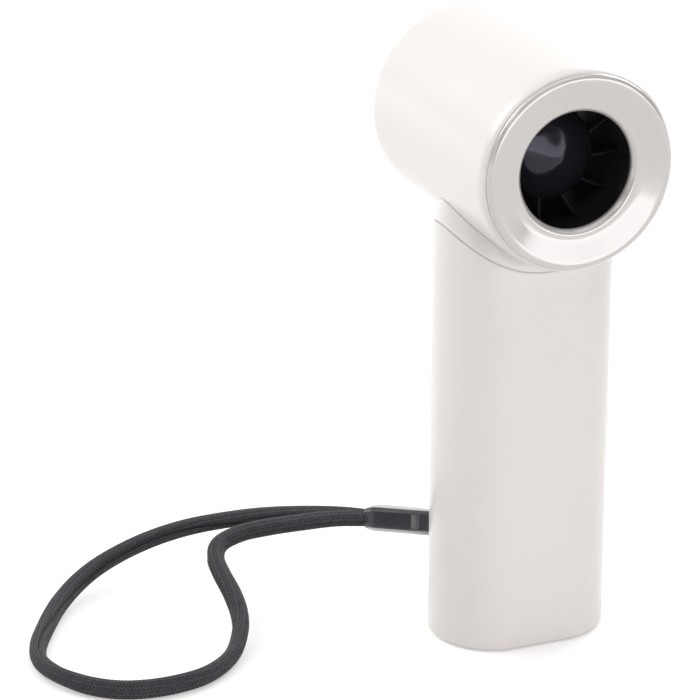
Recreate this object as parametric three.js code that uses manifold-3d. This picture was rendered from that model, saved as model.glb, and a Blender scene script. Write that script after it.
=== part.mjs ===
// Handheld fan with a tubular head, a flat-sided oval grip and a wrist strap.
// Millimetres, +Z up. The origin is the middle of the base and the air leaves toward -Y.
import * as THREE from 'three';
import { mergeVertices } from 'three/addons/utils/BufferGeometryUtils.js';
import Module from 'manifold-3d';

const wasm = await Module();
wasm.setup();

// Clearances
const GAP = 0.3; // between parts that stand beside each other
const SLIP = 0.06; // between a shaft and its bore
const SEAT = 0.15; // between a part and the surface that it lies on

// Head
const HEAD_RADIUS = 23.1;
const HEAD_WALL = 1.7;
const HEAD_BACK = 32.7; // the back rim
const HEAD_FRONT = -28.55; // the crest of the bezel's rim
const LIP_SETBACK = 1.35; // from the bezel's crest back to the shell's front edge
const EDGE_ROUND = 0.9; // of the shell's front edge
const RIM_BEAD = 1.6; // width of the bezel's rounded rim
const LAND_WIDTH = 2.7; // of the bezel's flat step around the outlet
const THROAT_DEPTH = 3.8; // from the bezel's crest to the back of its throat
const THROAT_RADIUS = 13.55; // the outlet's narrowest opening
const SKIRT_WALL = 1.5;
const DUCT_WALL = 1.6;
const STATOR_FRONT = -13.6;
const STATOR_BACK = 3.5;
const SHROUD_BACK = 27;
const FLANGE_WIDTH = 1.5;
const HUB_RADIUS = 10.4;
const HUB_WALL = 1.1;
const NOSE_RISE = 4.9;
const NOSE_WALL = 1.2;
const SPIGOT_LENGTH = 1.5;
const VANE_COUNT = 12;
const VANE_THICKNESS = 0.9;
const BLADE_COUNT = 9;
const BLADE_THICKNESS = 1;
const BLADE_TIP_GAP = 0.5;
const IMPELLER_LENGTH = 13.5;
const SHAFT_RADIUS = 1;
const BEARING_RADIUS = 3;
const BEARING_WIDTH = 2.3;
const END_PLATE = 1.2;
const MAGNET_RADIUS = 3.4;
const MAGNET_GAP = 0.5;
const COIL_COUNT = 6;
const TOOTH_WIDTH = 2;
const COIL_BUILD = 0.7; // how far a coil stands out around its tooth
const NUT_HEIGHT = 2.4;
const GRILLE_DEPTH = 1.6;
const GRILLE_SETBACK = 0.5; // from the back rim in to the grille
const SPOKE_WIDTH = 1.3;
const FLARE_LIP = 0.7;

// Grip. Its depth follows from the cell and what stands behind it.
const GRIP_WIDTH = 42;
const GRIP_WALL = 1.8;
const CELL_RADIUS = 9.2;
const CELL_LENGTH = 65;
const CHASSIS_WALL = 1;
const BOARD_STANDOFF = 0.6;
const BOARD_THICKNESS = 1;
const SWITCH_ROOM = 3.9; // from the board to the inside of the grip's back
const SADDLE_RADIUS = 27.1; // the grip's top is cut by this cylinder about the motor axis
const COLLAR_TAPER = 0.9;
const COLLAR_WALL = 3.6;
const SKIRT_DEPTH = 8; // how far the collar reaches into the grip
const BASE_THICKNESS = 2.2;
const BASE_SKIRT = 7;
const CHASSIS_FLOOR = 10.2; // the underside of the chassis
const TAB_ROOM = 0.7; // under the cell, for the negative tab
const TAB_WIDTH = 3.4;
const FOAM_ROOM = 2.4; // above the cell, for the positive tab and the foam
const LEAD_ROOM = 2.3; // between the board's top and the collar, where the leads cross
const FOOT_ROUND = 0.8; // of the grip's lower edge
const LEDGE_WIDTH = 1.2; // inside the grip, above the base cap
const PLATE_THICKNESS = 1.7;
const BOARD_WIDTH = 19;
const SOCKET_WIDTH = 9;
const SOCKET_DEPTH = 3.3;
const SOCKET_HEIGHT = 7.4;
const SCREW_RADIUS = 0.9;
const SCREW_HEAD_RADIUS = 1.9;
const SCREW_HEAD_HEIGHT = 1.1;
const HEAD_SCREW_LENGTH = 8;
const COLLAR_SCREW_LENGTH = 6;
const BASE_SCREW_LENGTH = 7;
const SCREW_BOSS_WALL = 1.4;
const NECK_POST_WALL = 2.1;
const BUTTON_DROP = 5.6; // from the top of the cell down to the button
const BUTTON_RADIUS = 5.2;
const BUTTON_PROUD = 0.6;
const BUTTON_FLANGE = 1.3;
const PLUNGER_RADIUS = 1.6;
const SWITCH_SIZE = 6;
const LIGHT_DROP = 11; // from the button down to the light
const LIGHT_RADIUS = 0.9;
const LEAD_RADIUS = 0.4;
const BATTERY_LEAD_RADIUS = 0.6;

// Wrist strap
const STRAP_HEIGHT = 19.5;
const ANCHOR_WIDTH = 10;
const ANCHOR_HEIGHT = 8.4;
const ANCHOR_WALL = 1;
const PIN_RADIUS = 0.8;
const TETHER_RADIUS = 0.6;
const FERRULE_LENGTH = 16.5;
const FERRULE_DEPTH = 9.2;
const FERRULE_HEIGHT = 6;
const FERRULE_CHAMFER = 0.8;
const FERRULE_ROLL = 18; // degrees that its far side hangs lower
const CORD_RADIUS = 2;
const CORD_SPACING = 4.4; // between the strap's two ends in the ferrule
const CORD_GRIPPED = 6; // how far each end reaches into the ferrule

// Smoothness
const ROUND = 32; // sides of a turned part of the head
const SMALL_ROUND = 12;
const ARC_STEPS = 14; // of each rounded side of the grip

// Shared positions
const gripDepth = 2 * GRIP_WALL + SEAT + 2 * CELL_RADIUS + GAP + CHASSIS_WALL
  + BOARD_STANDOFF + BOARD_THICKNESS + SWITCH_ROOM + SEAT;
const gripBack = gripDepth / 2;
const innerBack = gripBack - GRIP_WALL;
const innerSide = GRIP_WIDTH / 2 - GRIP_WALL;
const cellY = -innerBack + SEAT + CELL_RADIUS;
const webFront = cellY + CELL_RADIUS + GAP;
const webBack = webFront + CHASSIS_WALL;
const boardFront = webBack + BOARD_STANDOFF;
const boardBack = boardFront + BOARD_THICKNESS;
const backRoom = innerBack - boardBack;
const chassisTop = CHASSIS_FLOOR + PLATE_THICKNESS;
const cellBottom = chassisTop + TAB_ROOM;
const cellTop = cellBottom + CELL_LENGTH;
const topPlate = cellTop + FOAM_ROOM;
const boardTop = topPlate + PLATE_THICKNESS;
const skirtBottom = boardTop + LEAD_ROOM;
const axisHeight = skirtBottom + SKIRT_DEPTH + SADDLE_RADIUS; // the motor axis above the base
const buttonHeight = cellTop - BUTTON_DROP;
const headBore = HEAD_RADIUS - HEAD_WALL;
const fitRadius = headBore - GAP;
const ductOuter = fitRadius - SKIRT_WALL - GAP;
const ductRadius = ductOuter - DUCT_WALL;
const hubBore = HUB_RADIUS - HUB_WALL;
const hubFront = STATOR_FRONT + FLANGE_WIDTH;
const headCentre = [0, 0, axisHeight];

// Materials
function finish(colour, roughness, metalness) {
  return new THREE.MeshStandardMaterial({ color: colour, roughness, metalness });
}
const looks = {
  shell: () => finish(0xe9e5e1, 0.42, 0),
  black: () => finish(0x0d0d0f, 0.3, 0),
  gloss: () => finish(0x08080a, 0.12, 0),
  white: () => finish(0xdedcd8, 0.55, 0),
  steel: () => finish(0xb9bcc0, 0.3, 1),
  dark: () => finish(0x2a2b2f, 0.5, 0.6),
  copper: () => finish(0xb4703a, 0.35, 1),
  nickel: () => finish(0xc9c5ba, 0.35, 1),
  board: () => finish(0x1d5a38, 0.5, 0),
  chip: () => finish(0x17181a, 0.55, 0),
  cell: () => finish(0x3f6fa8, 0.4, 0),
  foam: () => finish(0x2c2c2e, 0.95, 0),
  lens: () => finish(0xf4f2ec, 0.2, 0),
  red: () => finish(0xb3261f, 0.5, 0),
  blackLead: () => finish(0x1a1a1c, 0.5, 0),
  yellow: () => finish(0xd0a526, 0.5, 0),
  ferrule: () => finish(0x232326, 0.35, 0),
  braid: () => finish(0x3a373c, 0.85, 0),
};

const fan = new THREE.Group();
fan.name = 'handheld_fan';

// Solids
function solid(geometry) {
  const bare = geometry.clone();
  bare.deleteAttribute('normal');
  bare.deleteAttribute('uv');
  const merged = mergeVertices(bare, 1e-4);
  const points = new Float32Array(merged.attributes.position.array);
  const corners = new Uint32Array(merged.index.array);
  const a = new THREE.Vector3();
  const b = new THREE.Vector3();
  const c = new THREE.Vector3();
  const kept = [];
  let volume = 0;
  for (let i = 0; i < corners.length; i += 3) {
    const [p, q, r] = corners.subarray(i, i + 3);
    if (p === q || q === r || r === p) continue;
    kept.push(p, q, r);
    a.fromArray(points, 3 * p);
    b.fromArray(points, 3 * q);
    c.fromArray(points, 3 * r);
    volume += a.dot(b.cross(c));
  }
  if (volume < 0) kept.reverse();
  const mesh = new wasm.Mesh({ numProp: 3, vertProperties: points, triVerts: new Uint32Array(kept) });
  return new wasm.Manifold(mesh);
}

function join(first, ...others) {
  return others.reduce((whole, next) => whole.add(next), first);
}

function cut(first, ...others) {
  return others.reduce((whole, next) => whole.subtract(next), first);
}

function place(name, body, look) {
  const { vertProperties, triVerts } = body.getMesh();
  const geometry = new THREE.BufferGeometry();
  geometry.setAttribute('position', new THREE.BufferAttribute(vertProperties, 3));
  geometry.setIndex(new THREE.BufferAttribute(triVerts, 1));
  geometry.computeVertexNormals();
  const mesh = new THREE.Mesh(geometry, look());
  mesh.name = name;
  fan.add(mesh);
}

function block(x, y, z) {
  const geometry = new THREE.BoxGeometry(x[1] - x[0], y[1] - y[0], z[1] - z[0]);
  return solid(geometry.translate((x[0] + x[1]) / 2, (y[0] + y[1]) / 2, (z[0] + z[1]) / 2));
}

// A turned part: the profile holds [radius, distance along the axis].
function turned(profile, sides, axis, centre) {
  const geometry = new THREE.LatheGeometry(profile.map(([r, s]) => new THREE.Vector2(r, s)), sides);
  if (axis === 'z') geometry.rotateX(Math.PI / 2);
  return solid(geometry.translate(...centre));
}

function ringOf(profile, sides, axis, centre) {
  return turned([...profile, profile[0]], sides, axis, centre);
}

function rod(radius, from, to, sides, axis, centre) {
  return turned([[0, from], [radius, from], [radius, to], [0, to]], sides, axis, centre);
}

function washer(inner, outer, from, to, sides, axis, centre) {
  return ringOf([[inner, from], [outer, from], [outer, to], [inner, to]], sides, axis, centre);
}

// A closed skin through rings of points, where the last ring joins the first.
function loft(rings) {
  const count = rings[0].length;
  const index = [];
  rings.forEach((_, i) => {
    const next = (i + 1) % rings.length;
    for (let j = 0; j < count; j += 1) {
      const k = (j + 1) % count;
      index.push(i * count + j, i * count + k, next * count + k);
      index.push(i * count + j, next * count + k, next * count + j);
    }
  });
  const geometry = new THREE.BufferGeometry();
  geometry.setAttribute('position', new THREE.Float32BufferAttribute(rings.flat(2), 3));
  geometry.setIndex(index);
  return solid(geometry);
}

// A thin blade: at(u, v, side) gives its point across the span, along the chord and on each face.
function blade(across, along, at) {
  const points = [];
  const index = [];
  const row = along + 1;
  const face = (across + 1) * row;
  for (const side of [-1, 1]) {
    for (let i = 0; i <= across; i += 1) {
      for (let j = 0; j <= along; j += 1) points.push(...at(i / across, j / along, side));
    }
  }
  const quad = (a, b, c, d) => index.push(a, b, c, a, c, d);
  for (let i = 0; i < across; i += 1) {
    for (let j = 0; j < along; j += 1) {
      const a = i * row + j;
      quad(a, a + 1, a + row + 1, a + row);
      quad(face + a, face + a + row, face + a + row + 1, face + a + 1);
    }
  }
  for (let i = 0; i < across; i += 1) {
    const low = i * row;
    const high = low + along;
    quad(low, low + row, face + low + row, face + low);
    quad(high, face + high, face + high + row, high + row);
  }
  for (let j = 0; j < along; j += 1) {
    const far = across * row + j;
    quad(j, face + j, face + j + 1, j + 1);
    quad(far, far + 1, face + far + 1, face + far);
  }
  const geometry = new THREE.BufferGeometry();
  geometry.setAttribute('position', new THREE.Float32BufferAttribute(points, 3));
  geometry.setIndex(index);
  return solid(geometry);
}

function onCircle(radius, angle, y) {
  return [radius * Math.cos(angle), y, axisHeight + radius * Math.sin(angle)];
}

function tube(points, radius, sides, steps) {
  const section = new THREE.Shape();
  section.absarc(0, 0, radius, 0, 2 * Math.PI);
  const route = new THREE.CatmullRomCurve3(points.map((p) => new THREE.Vector3(...p)));
  const options = { steps, curveSegments: sides / 2, bevelEnabled: false, extrudePath: route };
  return solid(new THREE.ExtrudeGeometry(section, options));
}

function degrees(angle) {
  return (angle * Math.PI) / 180;
}

// The grip's outline, set in from its surface, as a ring at a height or on a cylinder about the motor axis.
function outline(inset) {
  const radius = gripDepth / 2 - inset;
  const half = (GRIP_WIDTH - gripDepth) / 2;
  const points = [];
  for (const side of [1, -1]) {
    for (let i = 0; i <= ARC_STEPS; i += 1) {
      const angle = Math.PI * (i / ARC_STEPS - 0.5);
      points.push([side * (half + radius * Math.cos(angle)), side * radius * Math.sin(angle)]);
    }
    for (const share of [0.5, 0, -0.5]) points.push([side * half * share, side * radius]);
  }
  return points;
}

function level(inset, height) {
  return outline(inset).map(([x, y]) => [x, y, height]);
}

function saddle(inset, radius) {
  return outline(inset).map(([x, y]) => [x, y, axisHeight - Math.sqrt(radius ** 2 - x ** 2)]);
}

function slab(inset, from, to) {
  const shape = new THREE.Shape(outline(inset).map(([x, y]) => new THREE.Vector2(x, y)));
  const geometry = new THREE.ExtrudeGeometry(shape, { depth: to - from, bevelEnabled: false });
  return solid(geometry.translate(0, 0, from));
}

// A screw that points down, or up where flip is -1. Its head's seat is at the given place.
function screw(name, [x, y, z], length, flip) {
  const profile = [
    [0, -length],
    [SCREW_RADIUS - SLIP, -length],
    [SCREW_RADIUS - SLIP, 0],
    [SCREW_HEAD_RADIUS, 0],
    [SCREW_HEAD_RADIUS, SCREW_HEAD_HEIGHT],
    [0, SCREW_HEAD_HEIGHT],
  ].map(([r, s]) => [r, s * flip]);
  place(name, turned(profile, SMALL_ROUND, 'z', [x, y, z]), looks.steel);
}

// Head shell with the neck's wire slot and two screw holes
const neckScrewY = gripDepth * 0.29;
const shellFront = HEAD_FRONT + LIP_SETBACK;
const neckFloor = axisHeight - HEAD_RADIUS;
const neckSpan = [neckFloor - HEAD_WALL, neckFloor + 2 * HEAD_WALL];
const wireHalf = 3 * LEAD_RADIUS + 3 * GAP;
const wireY = STATOR_BACK - FLANGE_WIDTH - HUB_WALL;
const headTube = ringOf([
  [headBore, shellFront],
  [HEAD_RADIUS - EDGE_ROUND, shellFront],
  [HEAD_RADIUS - EDGE_ROUND * 0.55, shellFront + EDGE_ROUND * 0.45],
  [HEAD_RADIUS - EDGE_ROUND * 0.16, shellFront + EDGE_ROUND * 1.45],
  [HEAD_RADIUS, shellFront + EDGE_ROUND * 2.55],
  [HEAD_RADIUS, HEAD_BACK - EDGE_ROUND],
  [HEAD_RADIUS - EDGE_ROUND * 0.3, HEAD_BACK - EDGE_ROUND * 0.3],
  [HEAD_RADIUS - EDGE_ROUND, HEAD_BACK],
  [headBore, HEAD_BACK],
], ROUND, 'y', headCentre);
const neckHoles = [-1, 1].map((side) => (
  rod(SCREW_RADIUS + SEAT, neckSpan[0], neckSpan[1], SMALL_ROUND, 'z', [0, side * neckScrewY, 0])
));
const wireSlot = block([-wireHalf, wireHalf], [wireY - wireHalf, wireY + wireHalf], neckSpan);
place('head_shell', cut(headTube, wireSlot, ...neckHoles), looks.shell);

// Front bezel: rim bead, shallow dish, land and throat
const rimRadius = HEAD_RADIUS - EDGE_ROUND - SLIP;
const dishEdge = rimRadius - RIM_BEAD;
const landEdge = THROAT_RADIUS + LAND_WIDTH;
const throatBack = HEAD_FRONT + THROAT_DEPTH;
const behindCrest = (share) => HEAD_FRONT + THROAT_DEPTH * share;
place('front_bezel', ringOf([
  [rimRadius - RIM_BEAD * 0.03, shellFront - GAP],
  [rimRadius, behindCrest(0.2)],
  [rimRadius - RIM_BEAD * 0.13, behindCrest(0.07)],
  [rimRadius - RIM_BEAD * 0.47, HEAD_FRONT],
  [rimRadius - RIM_BEAD * 0.78, behindCrest(0.03)],
  [dishEdge, behindCrest(0.13)],
  [dishEdge * 0.8 + landEdge * 0.2, behindCrest(0.28)],
  [dishEdge * 0.45 + landEdge * 0.55, behindCrest(0.43)],
  [landEdge, behindCrest(0.55)],
  [THROAT_RADIUS + LAND_WIDTH * 0.33, behindCrest(0.7)],
  [THROAT_RADIUS + LAND_WIDTH * 0.09, behindCrest(0.79)],
  [THROAT_RADIUS, behindCrest(0.9)],
  [THROAT_RADIUS + LAND_WIDTH * 0.04, throatBack],
  [landEdge, throatBack],
  [ductOuter + GAP, behindCrest(0.87)],
  [ductOuter + GAP, behindCrest(1.84)],
  [fitRadius, behindCrest(1.84)],
  [fitRadius, shellFront - GAP],
], ROUND, 'y', headCentre), looks.shell);

// Outlet nozzle
const nozzleFront = throatBack + GAP;
const nozzleBack = STATOR_FRONT - GAP;
const nozzleLength = nozzleBack - nozzleFront;
const nozzleLip = THROAT_RADIUS + GAP;
place('outlet_nozzle', ringOf([
  [nozzleLip, nozzleFront],
  [nozzleLip + (ductRadius - nozzleLip) * 0.2, nozzleFront + nozzleLength * 0.17],
  [nozzleLip + (ductRadius - nozzleLip) * 0.7, nozzleFront + nozzleLength * 0.48],
  [ductRadius, nozzleFront + nozzleLength * 0.74],
  [ductRadius, nozzleBack],
  [fitRadius, nozzleBack],
  [fitRadius, nozzleBack - FLANGE_WIDTH],
  [ductOuter, nozzleBack - FLANGE_WIDTH],
  [ductOuter, nozzleFront],
], ROUND, 'y', headCentre), looks.black);

// Stator housing: duct ring, twelve vanes and the hub that holds the motor
const rearWall = STATOR_BACK - FLANGE_WIDTH;
const bossRadius = BEARING_RADIUS + SCREW_BOSS_WALL;
const rearBossFront = rearWall - BEARING_WIDTH - SEAT;
const bearingBore = BEARING_RADIUS + SLIP;
const shaftBore = SHAFT_RADIUS + SLIP;
const vaneBack = wireY - 2 * LEAD_RADIUS - GAP;
const statorRing = ringOf([
  [ductRadius, STATOR_FRONT],
  [fitRadius, STATOR_FRONT],
  [fitRadius, STATOR_FRONT + FLANGE_WIDTH],
  [ductOuter, STATOR_FRONT + FLANGE_WIDTH],
  [ductOuter, STATOR_BACK - FLANGE_WIDTH],
  [fitRadius, STATOR_BACK - FLANGE_WIDTH],
  [fitRadius, STATOR_BACK],
  [ductRadius, STATOR_BACK],
], ROUND, 'y', headCentre);
const hubBarrel = ringOf([
  [hubBore, hubFront],
  [HUB_RADIUS, hubFront],
  [HUB_RADIUS, STATOR_BACK],
  [SHAFT_RADIUS + GAP, STATOR_BACK],
  [SHAFT_RADIUS + GAP, rearWall],
  [bearingBore, rearWall],
  [bearingBore, rearBossFront],
  [bossRadius, rearBossFront],
  [bossRadius, rearWall],
  [hubBore, rearWall],
], ROUND, 'y', headCentre);
const vanes = Array.from({ length: VANE_COUNT }, (_, i) => blade(1, 2, (u, v, side) => {
  const root = hubBore + HUB_WALL * 0.45;
  const radius = root + (ductRadius + DUCT_WALL * 0.3 - root) * u;
  const lean = degrees(7 * u - 14 * v * v);
  const angle = degrees(-101 + (360 * i) / VANE_COUNT) + lean + (side * VANE_THICKNESS) / (2 * radius);
  return onCircle(radius, angle, hubFront + (vaneBack - hubFront) * v);
}));
const leadSlot = block(
  [-wireHalf, wireHalf],
  [wireY - 2 * LEAD_RADIUS, wireY + 2 * LEAD_RADIUS],
  [axisHeight - HEAD_RADIUS, axisHeight - hubBore + HUB_WALL],
);
place('stator_housing', cut(join(statorRing, hubBarrel, ...vanes), leadSlot), looks.black);

// Nose cone on the hub's front
const noseBase = hubFront - GAP;
const spigotRadius = hubBore - GAP;
const domeProfile = [[0, 1], [0.3, 0.97], [0.6, 0.84], [0.86, 0.53], [1, 0]];
const noseOuter = domeProfile.map(([r, rise]) => [HUB_RADIUS * r, noseBase - NOSE_RISE * rise]);
const noseInner = domeProfile.slice().reverse().map(([r, rise]) => (
  [(spigotRadius - NOSE_WALL) * r, noseBase - (NOSE_RISE - NOSE_WALL) * rise]
));
const noseSpigot = [
  [spigotRadius, noseBase],
  [spigotRadius, noseBase + SPIGOT_LENGTH],
  [spigotRadius - NOSE_WALL, noseBase + SPIGOT_LENGTH],
];
place('nose_cone', turned([...noseOuter, ...noseSpigot, ...noseInner], ROUND, 'y', headCentre), looks.gloss);

// Motor: end plate, bearings, magnet, core and coils
const plateFront = noseBase + SPIGOT_LENGTH + GAP;
const plateBack = plateFront + END_PLATE;
const bearingSeat = plateFront + END_PLATE / 2;
const frontBossBack = bearingSeat + BEARING_WIDTH + SEAT;
place('motor_end_plate', ringOf([
  [SHAFT_RADIUS + GAP, plateFront],
  [spigotRadius, plateFront],
  [spigotRadius, plateBack],
  [bossRadius, plateBack],
  [bossRadius, frontBossBack],
  [bearingBore, frontBossBack],
  [bearingBore, bearingSeat],
  [SHAFT_RADIUS + GAP, bearingSeat],
], SMALL_ROUND, 'y', headCentre), looks.nickel);
const bearingPlaces = [['front_bearing', frontBossBack - BEARING_WIDTH], ['rear_bearing', rearBossFront]];
for (const [name, from] of bearingPlaces) {
  const to = from + BEARING_WIDTH;
  place(name, washer(shaftBore, BEARING_RADIUS, from, to, SMALL_ROUND, 'y', headCentre), looks.steel);
}
const magnetFront = frontBossBack + GAP;
const magnetBack = rearBossFront - GAP;
const magnet = washer(shaftBore, MAGNET_RADIUS, magnetFront, magnetBack, SMALL_ROUND, 'y', headCentre);
place('rotor_magnet', magnet, looks.dark);

const coreFront = magnetFront + COIL_BUILD + SEAT;
const coreBack = magnetBack - COIL_BUILD - SEAT;
const coreInner = spigotRadius - TOOTH_WIDTH * 0.8;
const toothTip = MAGNET_RADIUS + MAGNET_GAP;
const toothRoot = coreInner + TOOTH_WIDTH * 0.2;
const toothTurns = Array.from({ length: COIL_COUNT }, (_, i) => (2 * Math.PI * i) / COIL_COUNT);
const toothPlate = new THREE.BoxGeometry(toothRoot - toothTip, coreBack - coreFront, TOOTH_WIDTH);
toothPlate.translate((toothRoot + toothTip) / 2, (coreFront + coreBack) / 2, 0);
const teeth = toothTurns.map((turn) => solid(toothPlate.clone().rotateY(turn).translate(...headCentre)));
const coreRing = washer(coreInner, spigotRadius, coreFront, coreBack, ROUND, 'y', headCentre);
place('stator_core', join(coreRing, ...teeth), looks.dark);

function rectangle(Kind, halfX, halfY) {
  const corners = [[-halfX, -halfY], [halfX, -halfY], [halfX, halfY], [-halfX, halfY]];
  return new Kind(corners.map(([x, y]) => new THREE.Vector2(x, y)));
}

const toothHalf = TOOTH_WIDTH / 2 + SEAT;
const coreHalf = (coreBack - coreFront) / 2 + SEAT;
const coilSection = rectangle(THREE.Shape, toothHalf + COIL_BUILD - SEAT, coreHalf + COIL_BUILD - SEAT);
coilSection.holes.push(rectangle(THREE.Path, toothHalf, coreHalf));
const coilLength = coreInner - toothTip - 4 * SEAT;
const coilBody = new THREE.ExtrudeGeometry(coilSection, { depth: coilLength, bevelEnabled: false });
coilBody.rotateY(Math.PI / 2).translate(toothTip + 2 * SEAT, (coreFront + coreBack) / 2, 0);
toothTurns.forEach((turn, i) => {
  place(`motor_coil_${i + 1}`, solid(coilBody.clone().rotateY(turn).translate(...headCentre)), looks.copper);
});

// Impeller with its nut, and the shaft that carries them
const impellerFront = STATOR_BACK + GAP + BLADE_TIP_GAP;
const impellerBack = impellerFront + IMPELLER_LENGTH;
const shaftBack = impellerBack + NUT_HEIGHT;
const tipRadius = ductRadius - BLADE_TIP_GAP;
const hubShare = (v) => HUB_RADIUS * (0.98 - 0.58 * v ** 1.4);
const hubSteps = [0, 0.25, 0.5, 0.75, 1];
const impellerHub = ringOf([
  [shaftBore, impellerFront],
  ...hubSteps.map((v) => [hubShare(v), impellerFront + IMPELLER_LENGTH * v]),
  [shaftBore, impellerBack],
], ROUND, 'y', headCentre);
const blades = Array.from({ length: BLADE_COUNT }, (_, i) => blade(1, 3, (u, v, side) => {
  const along = 0.06 + 0.86 * v;
  const root = hubShare(along) - BLADE_THICKNESS * 0.6;
  const radius = root + (tipRadius - root) * u;
  const sweep = degrees(58 * v + 10 * u);
  const angle = (2 * Math.PI * i) / BLADE_COUNT + sweep + (side * BLADE_THICKNESS) / (2 * radius);
  return onCircle(radius, angle, impellerFront + IMPELLER_LENGTH * along);
}));
place('impeller', join(impellerHub, ...blades), looks.white);
place('impeller_nut', turned([
  [0, shaftBack + NUT_HEIGHT * 0.58],
  [SHAFT_RADIUS * 1.4, shaftBack + NUT_HEIGHT * 0.5],
  [SHAFT_RADIUS * 2.6, shaftBack + NUT_HEIGHT * 0.1],
  [SHAFT_RADIUS * 3, impellerBack + GAP],
  [shaftBore, impellerBack + GAP],
  [shaftBore, shaftBack + SEAT],
  [0, shaftBack + SEAT],
], SMALL_ROUND, 'y', headCentre), looks.steel);
const shaft = rod(SHAFT_RADIUS, bearingSeat + SEAT, shaftBack, SMALL_ROUND, 'y', headCentre);
place('motor_shaft', shaft, looks.steel);

// Shroud around the impeller, with a flared intake
const shroudFront = STATOR_BACK + GAP;
const flareStart = impellerBack + 2 * BLADE_TIP_GAP;
const flareEnd = fitRadius - FLARE_LIP;
place('impeller_shroud', ringOf([
  [ductRadius, shroudFront],
  [fitRadius, shroudFront],
  [fitRadius, shroudFront + FLANGE_WIDTH],
  [ductOuter, shroudFront + FLANGE_WIDTH],
  [ductOuter, flareStart],
  [fitRadius, SHROUD_BACK - FLANGE_WIDTH],
  [fitRadius, SHROUD_BACK],
  [flareEnd, SHROUD_BACK],
  [ductRadius * 0.35 + flareEnd * 0.65, SHROUD_BACK - 0.3 * (SHROUD_BACK - flareStart)],
  [ductRadius, flareStart],
], ROUND, 'y', headCentre), looks.black);

// Intake grille: rings and spokes in a rim that reaches forward to the shroud
const grilleBack = HEAD_BACK - GRILLE_SETBACK;
const circlePoint = (radius, angle) => new THREE.Vector2(radius * Math.cos(angle), radius * Math.sin(angle));
const arc = (radius, from, to, steps) => Array.from({ length: steps + 1 }, (_, i) => (
  circlePoint(radius, from + ((to - from) * i) / steps)
));
const grilleFace = new THREE.Shape(arc(fitRadius, 0, 2 * Math.PI, ROUND).slice(0, ROUND));
const slotRows = [[0.23, 0.42, 6], [0.49, 0.66, 9], [0.73, 0.9, 12]];
for (const [inside, outside, slots] of slotRows) {
  for (let i = 0; i < slots; i += 1) {
    const half = Math.PI / slots;
    const middle = 2 * half * i;
    const low = fitRadius * inside;
    const high = fitRadius * outside;
    const lowHalf = half - SPOKE_WIDTH / (2 * low);
    const highHalf = half - SPOKE_WIDTH / (2 * high);
    const edge = [
      ...arc(high, middle - highHalf, middle + highHalf, 3),
      ...arc(low, middle + lowHalf, middle - lowHalf, 3),
    ];
    grilleFace.holes.push(new THREE.Path(edge));
  }
}
const grilleOptions = { depth: GRILLE_DEPTH, bevelEnabled: false };
const grillePlate = new THREE.ExtrudeGeometry(grilleFace, grilleOptions);
grillePlate.rotateX(Math.PI / 2).translate(0, grilleBack, axisHeight);
const grilleRim = washer(
  flareEnd - FLARE_LIP,
  fitRadius,
  SHROUD_BACK + GAP,
  grilleBack - GRILLE_DEPTH / 8,
  ROUND,
  'y',
  headCentre,
);
place('intake_grille', join(solid(grillePlate), grilleRim), looks.white);

// Neck collar: outer band, skirt inside the grip, floor and two screw posts
const collarFoot = SADDLE_RADIUS - GAP;
const collarSeat = HEAD_RADIUS + GAP;
const collarSkin = loft([
  saddle(0, collarFoot),
  saddle(COLLAR_TAPER * 0.25, collarFoot * 0.6 + collarSeat * 0.4),
  saddle(COLLAR_TAPER, collarSeat),
  saddle(COLLAR_TAPER + COLLAR_WALL, collarSeat),
  level(COLLAR_WALL, skirtBottom),
  level(GRIP_WALL + GAP, skirtBottom),
  saddle(GRIP_WALL + GAP, collarFoot),
]);
const floorTop = skirtBottom + PLATE_THICKNESS;
const collarFloor = slab(COLLAR_WALL - GRIP_WALL / 3, skirtBottom, floorTop);
const saddleCylinder = rod(collarSeat, -gripDepth, gripDepth, 2 * ROUND, 'y', headCentre);
const screwSeat = neckFloor + HEAD_WALL + GAP;
const postRadius = SCREW_RADIUS + NECK_POST_WALL;
const postSpan = [skirtBottom + SEAT, neckFloor + HEAD_WALL];
const posts = [-1, 1].map((side) => (
  rod(postRadius, ...postSpan, SMALL_ROUND, 'z', [0, side * neckScrewY, 0])
));
const postHoles = [-1, 1].map((side) => (
  rod(SCREW_RADIUS, screwSeat - HEAD_SCREW_LENGTH - 1, screwSeat, SMALL_ROUND, 'z', [0, side * neckScrewY, 0])
));
const tieX = innerSide * 0.38;
const tieHoles = [-1, 1].map((side) => (
  rod(SCREW_RADIUS + SEAT, skirtBottom - 1, floorTop + 1, SMALL_ROUND, 'z', [side * tieX, 0, 0])
));
const floorSlot = block(
  [-wireHalf, wireHalf],
  [wireY - wireHalf, wireY + 1.5 * wireHalf],
  [skirtBottom - 1, floorTop + 1],
);
const collarBody = join(collarSkin, collarFloor, ...posts.map((post) => post.subtract(saddleCylinder)));
place('neck_collar', cut(collarBody, floorSlot, ...postHoles, ...tieHoles), looks.shell);
[-1, 1].forEach((side, i) => {
  screw(`head_screw_${i + 1}`, [0, side * neckScrewY, screwSeat], HEAD_SCREW_LENGTH, 1);
  screw(`collar_screw_${i + 1}`, [side * tieX, 0, floorTop + SEAT], COLLAR_SCREW_LENGTH, 1);
});

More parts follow.
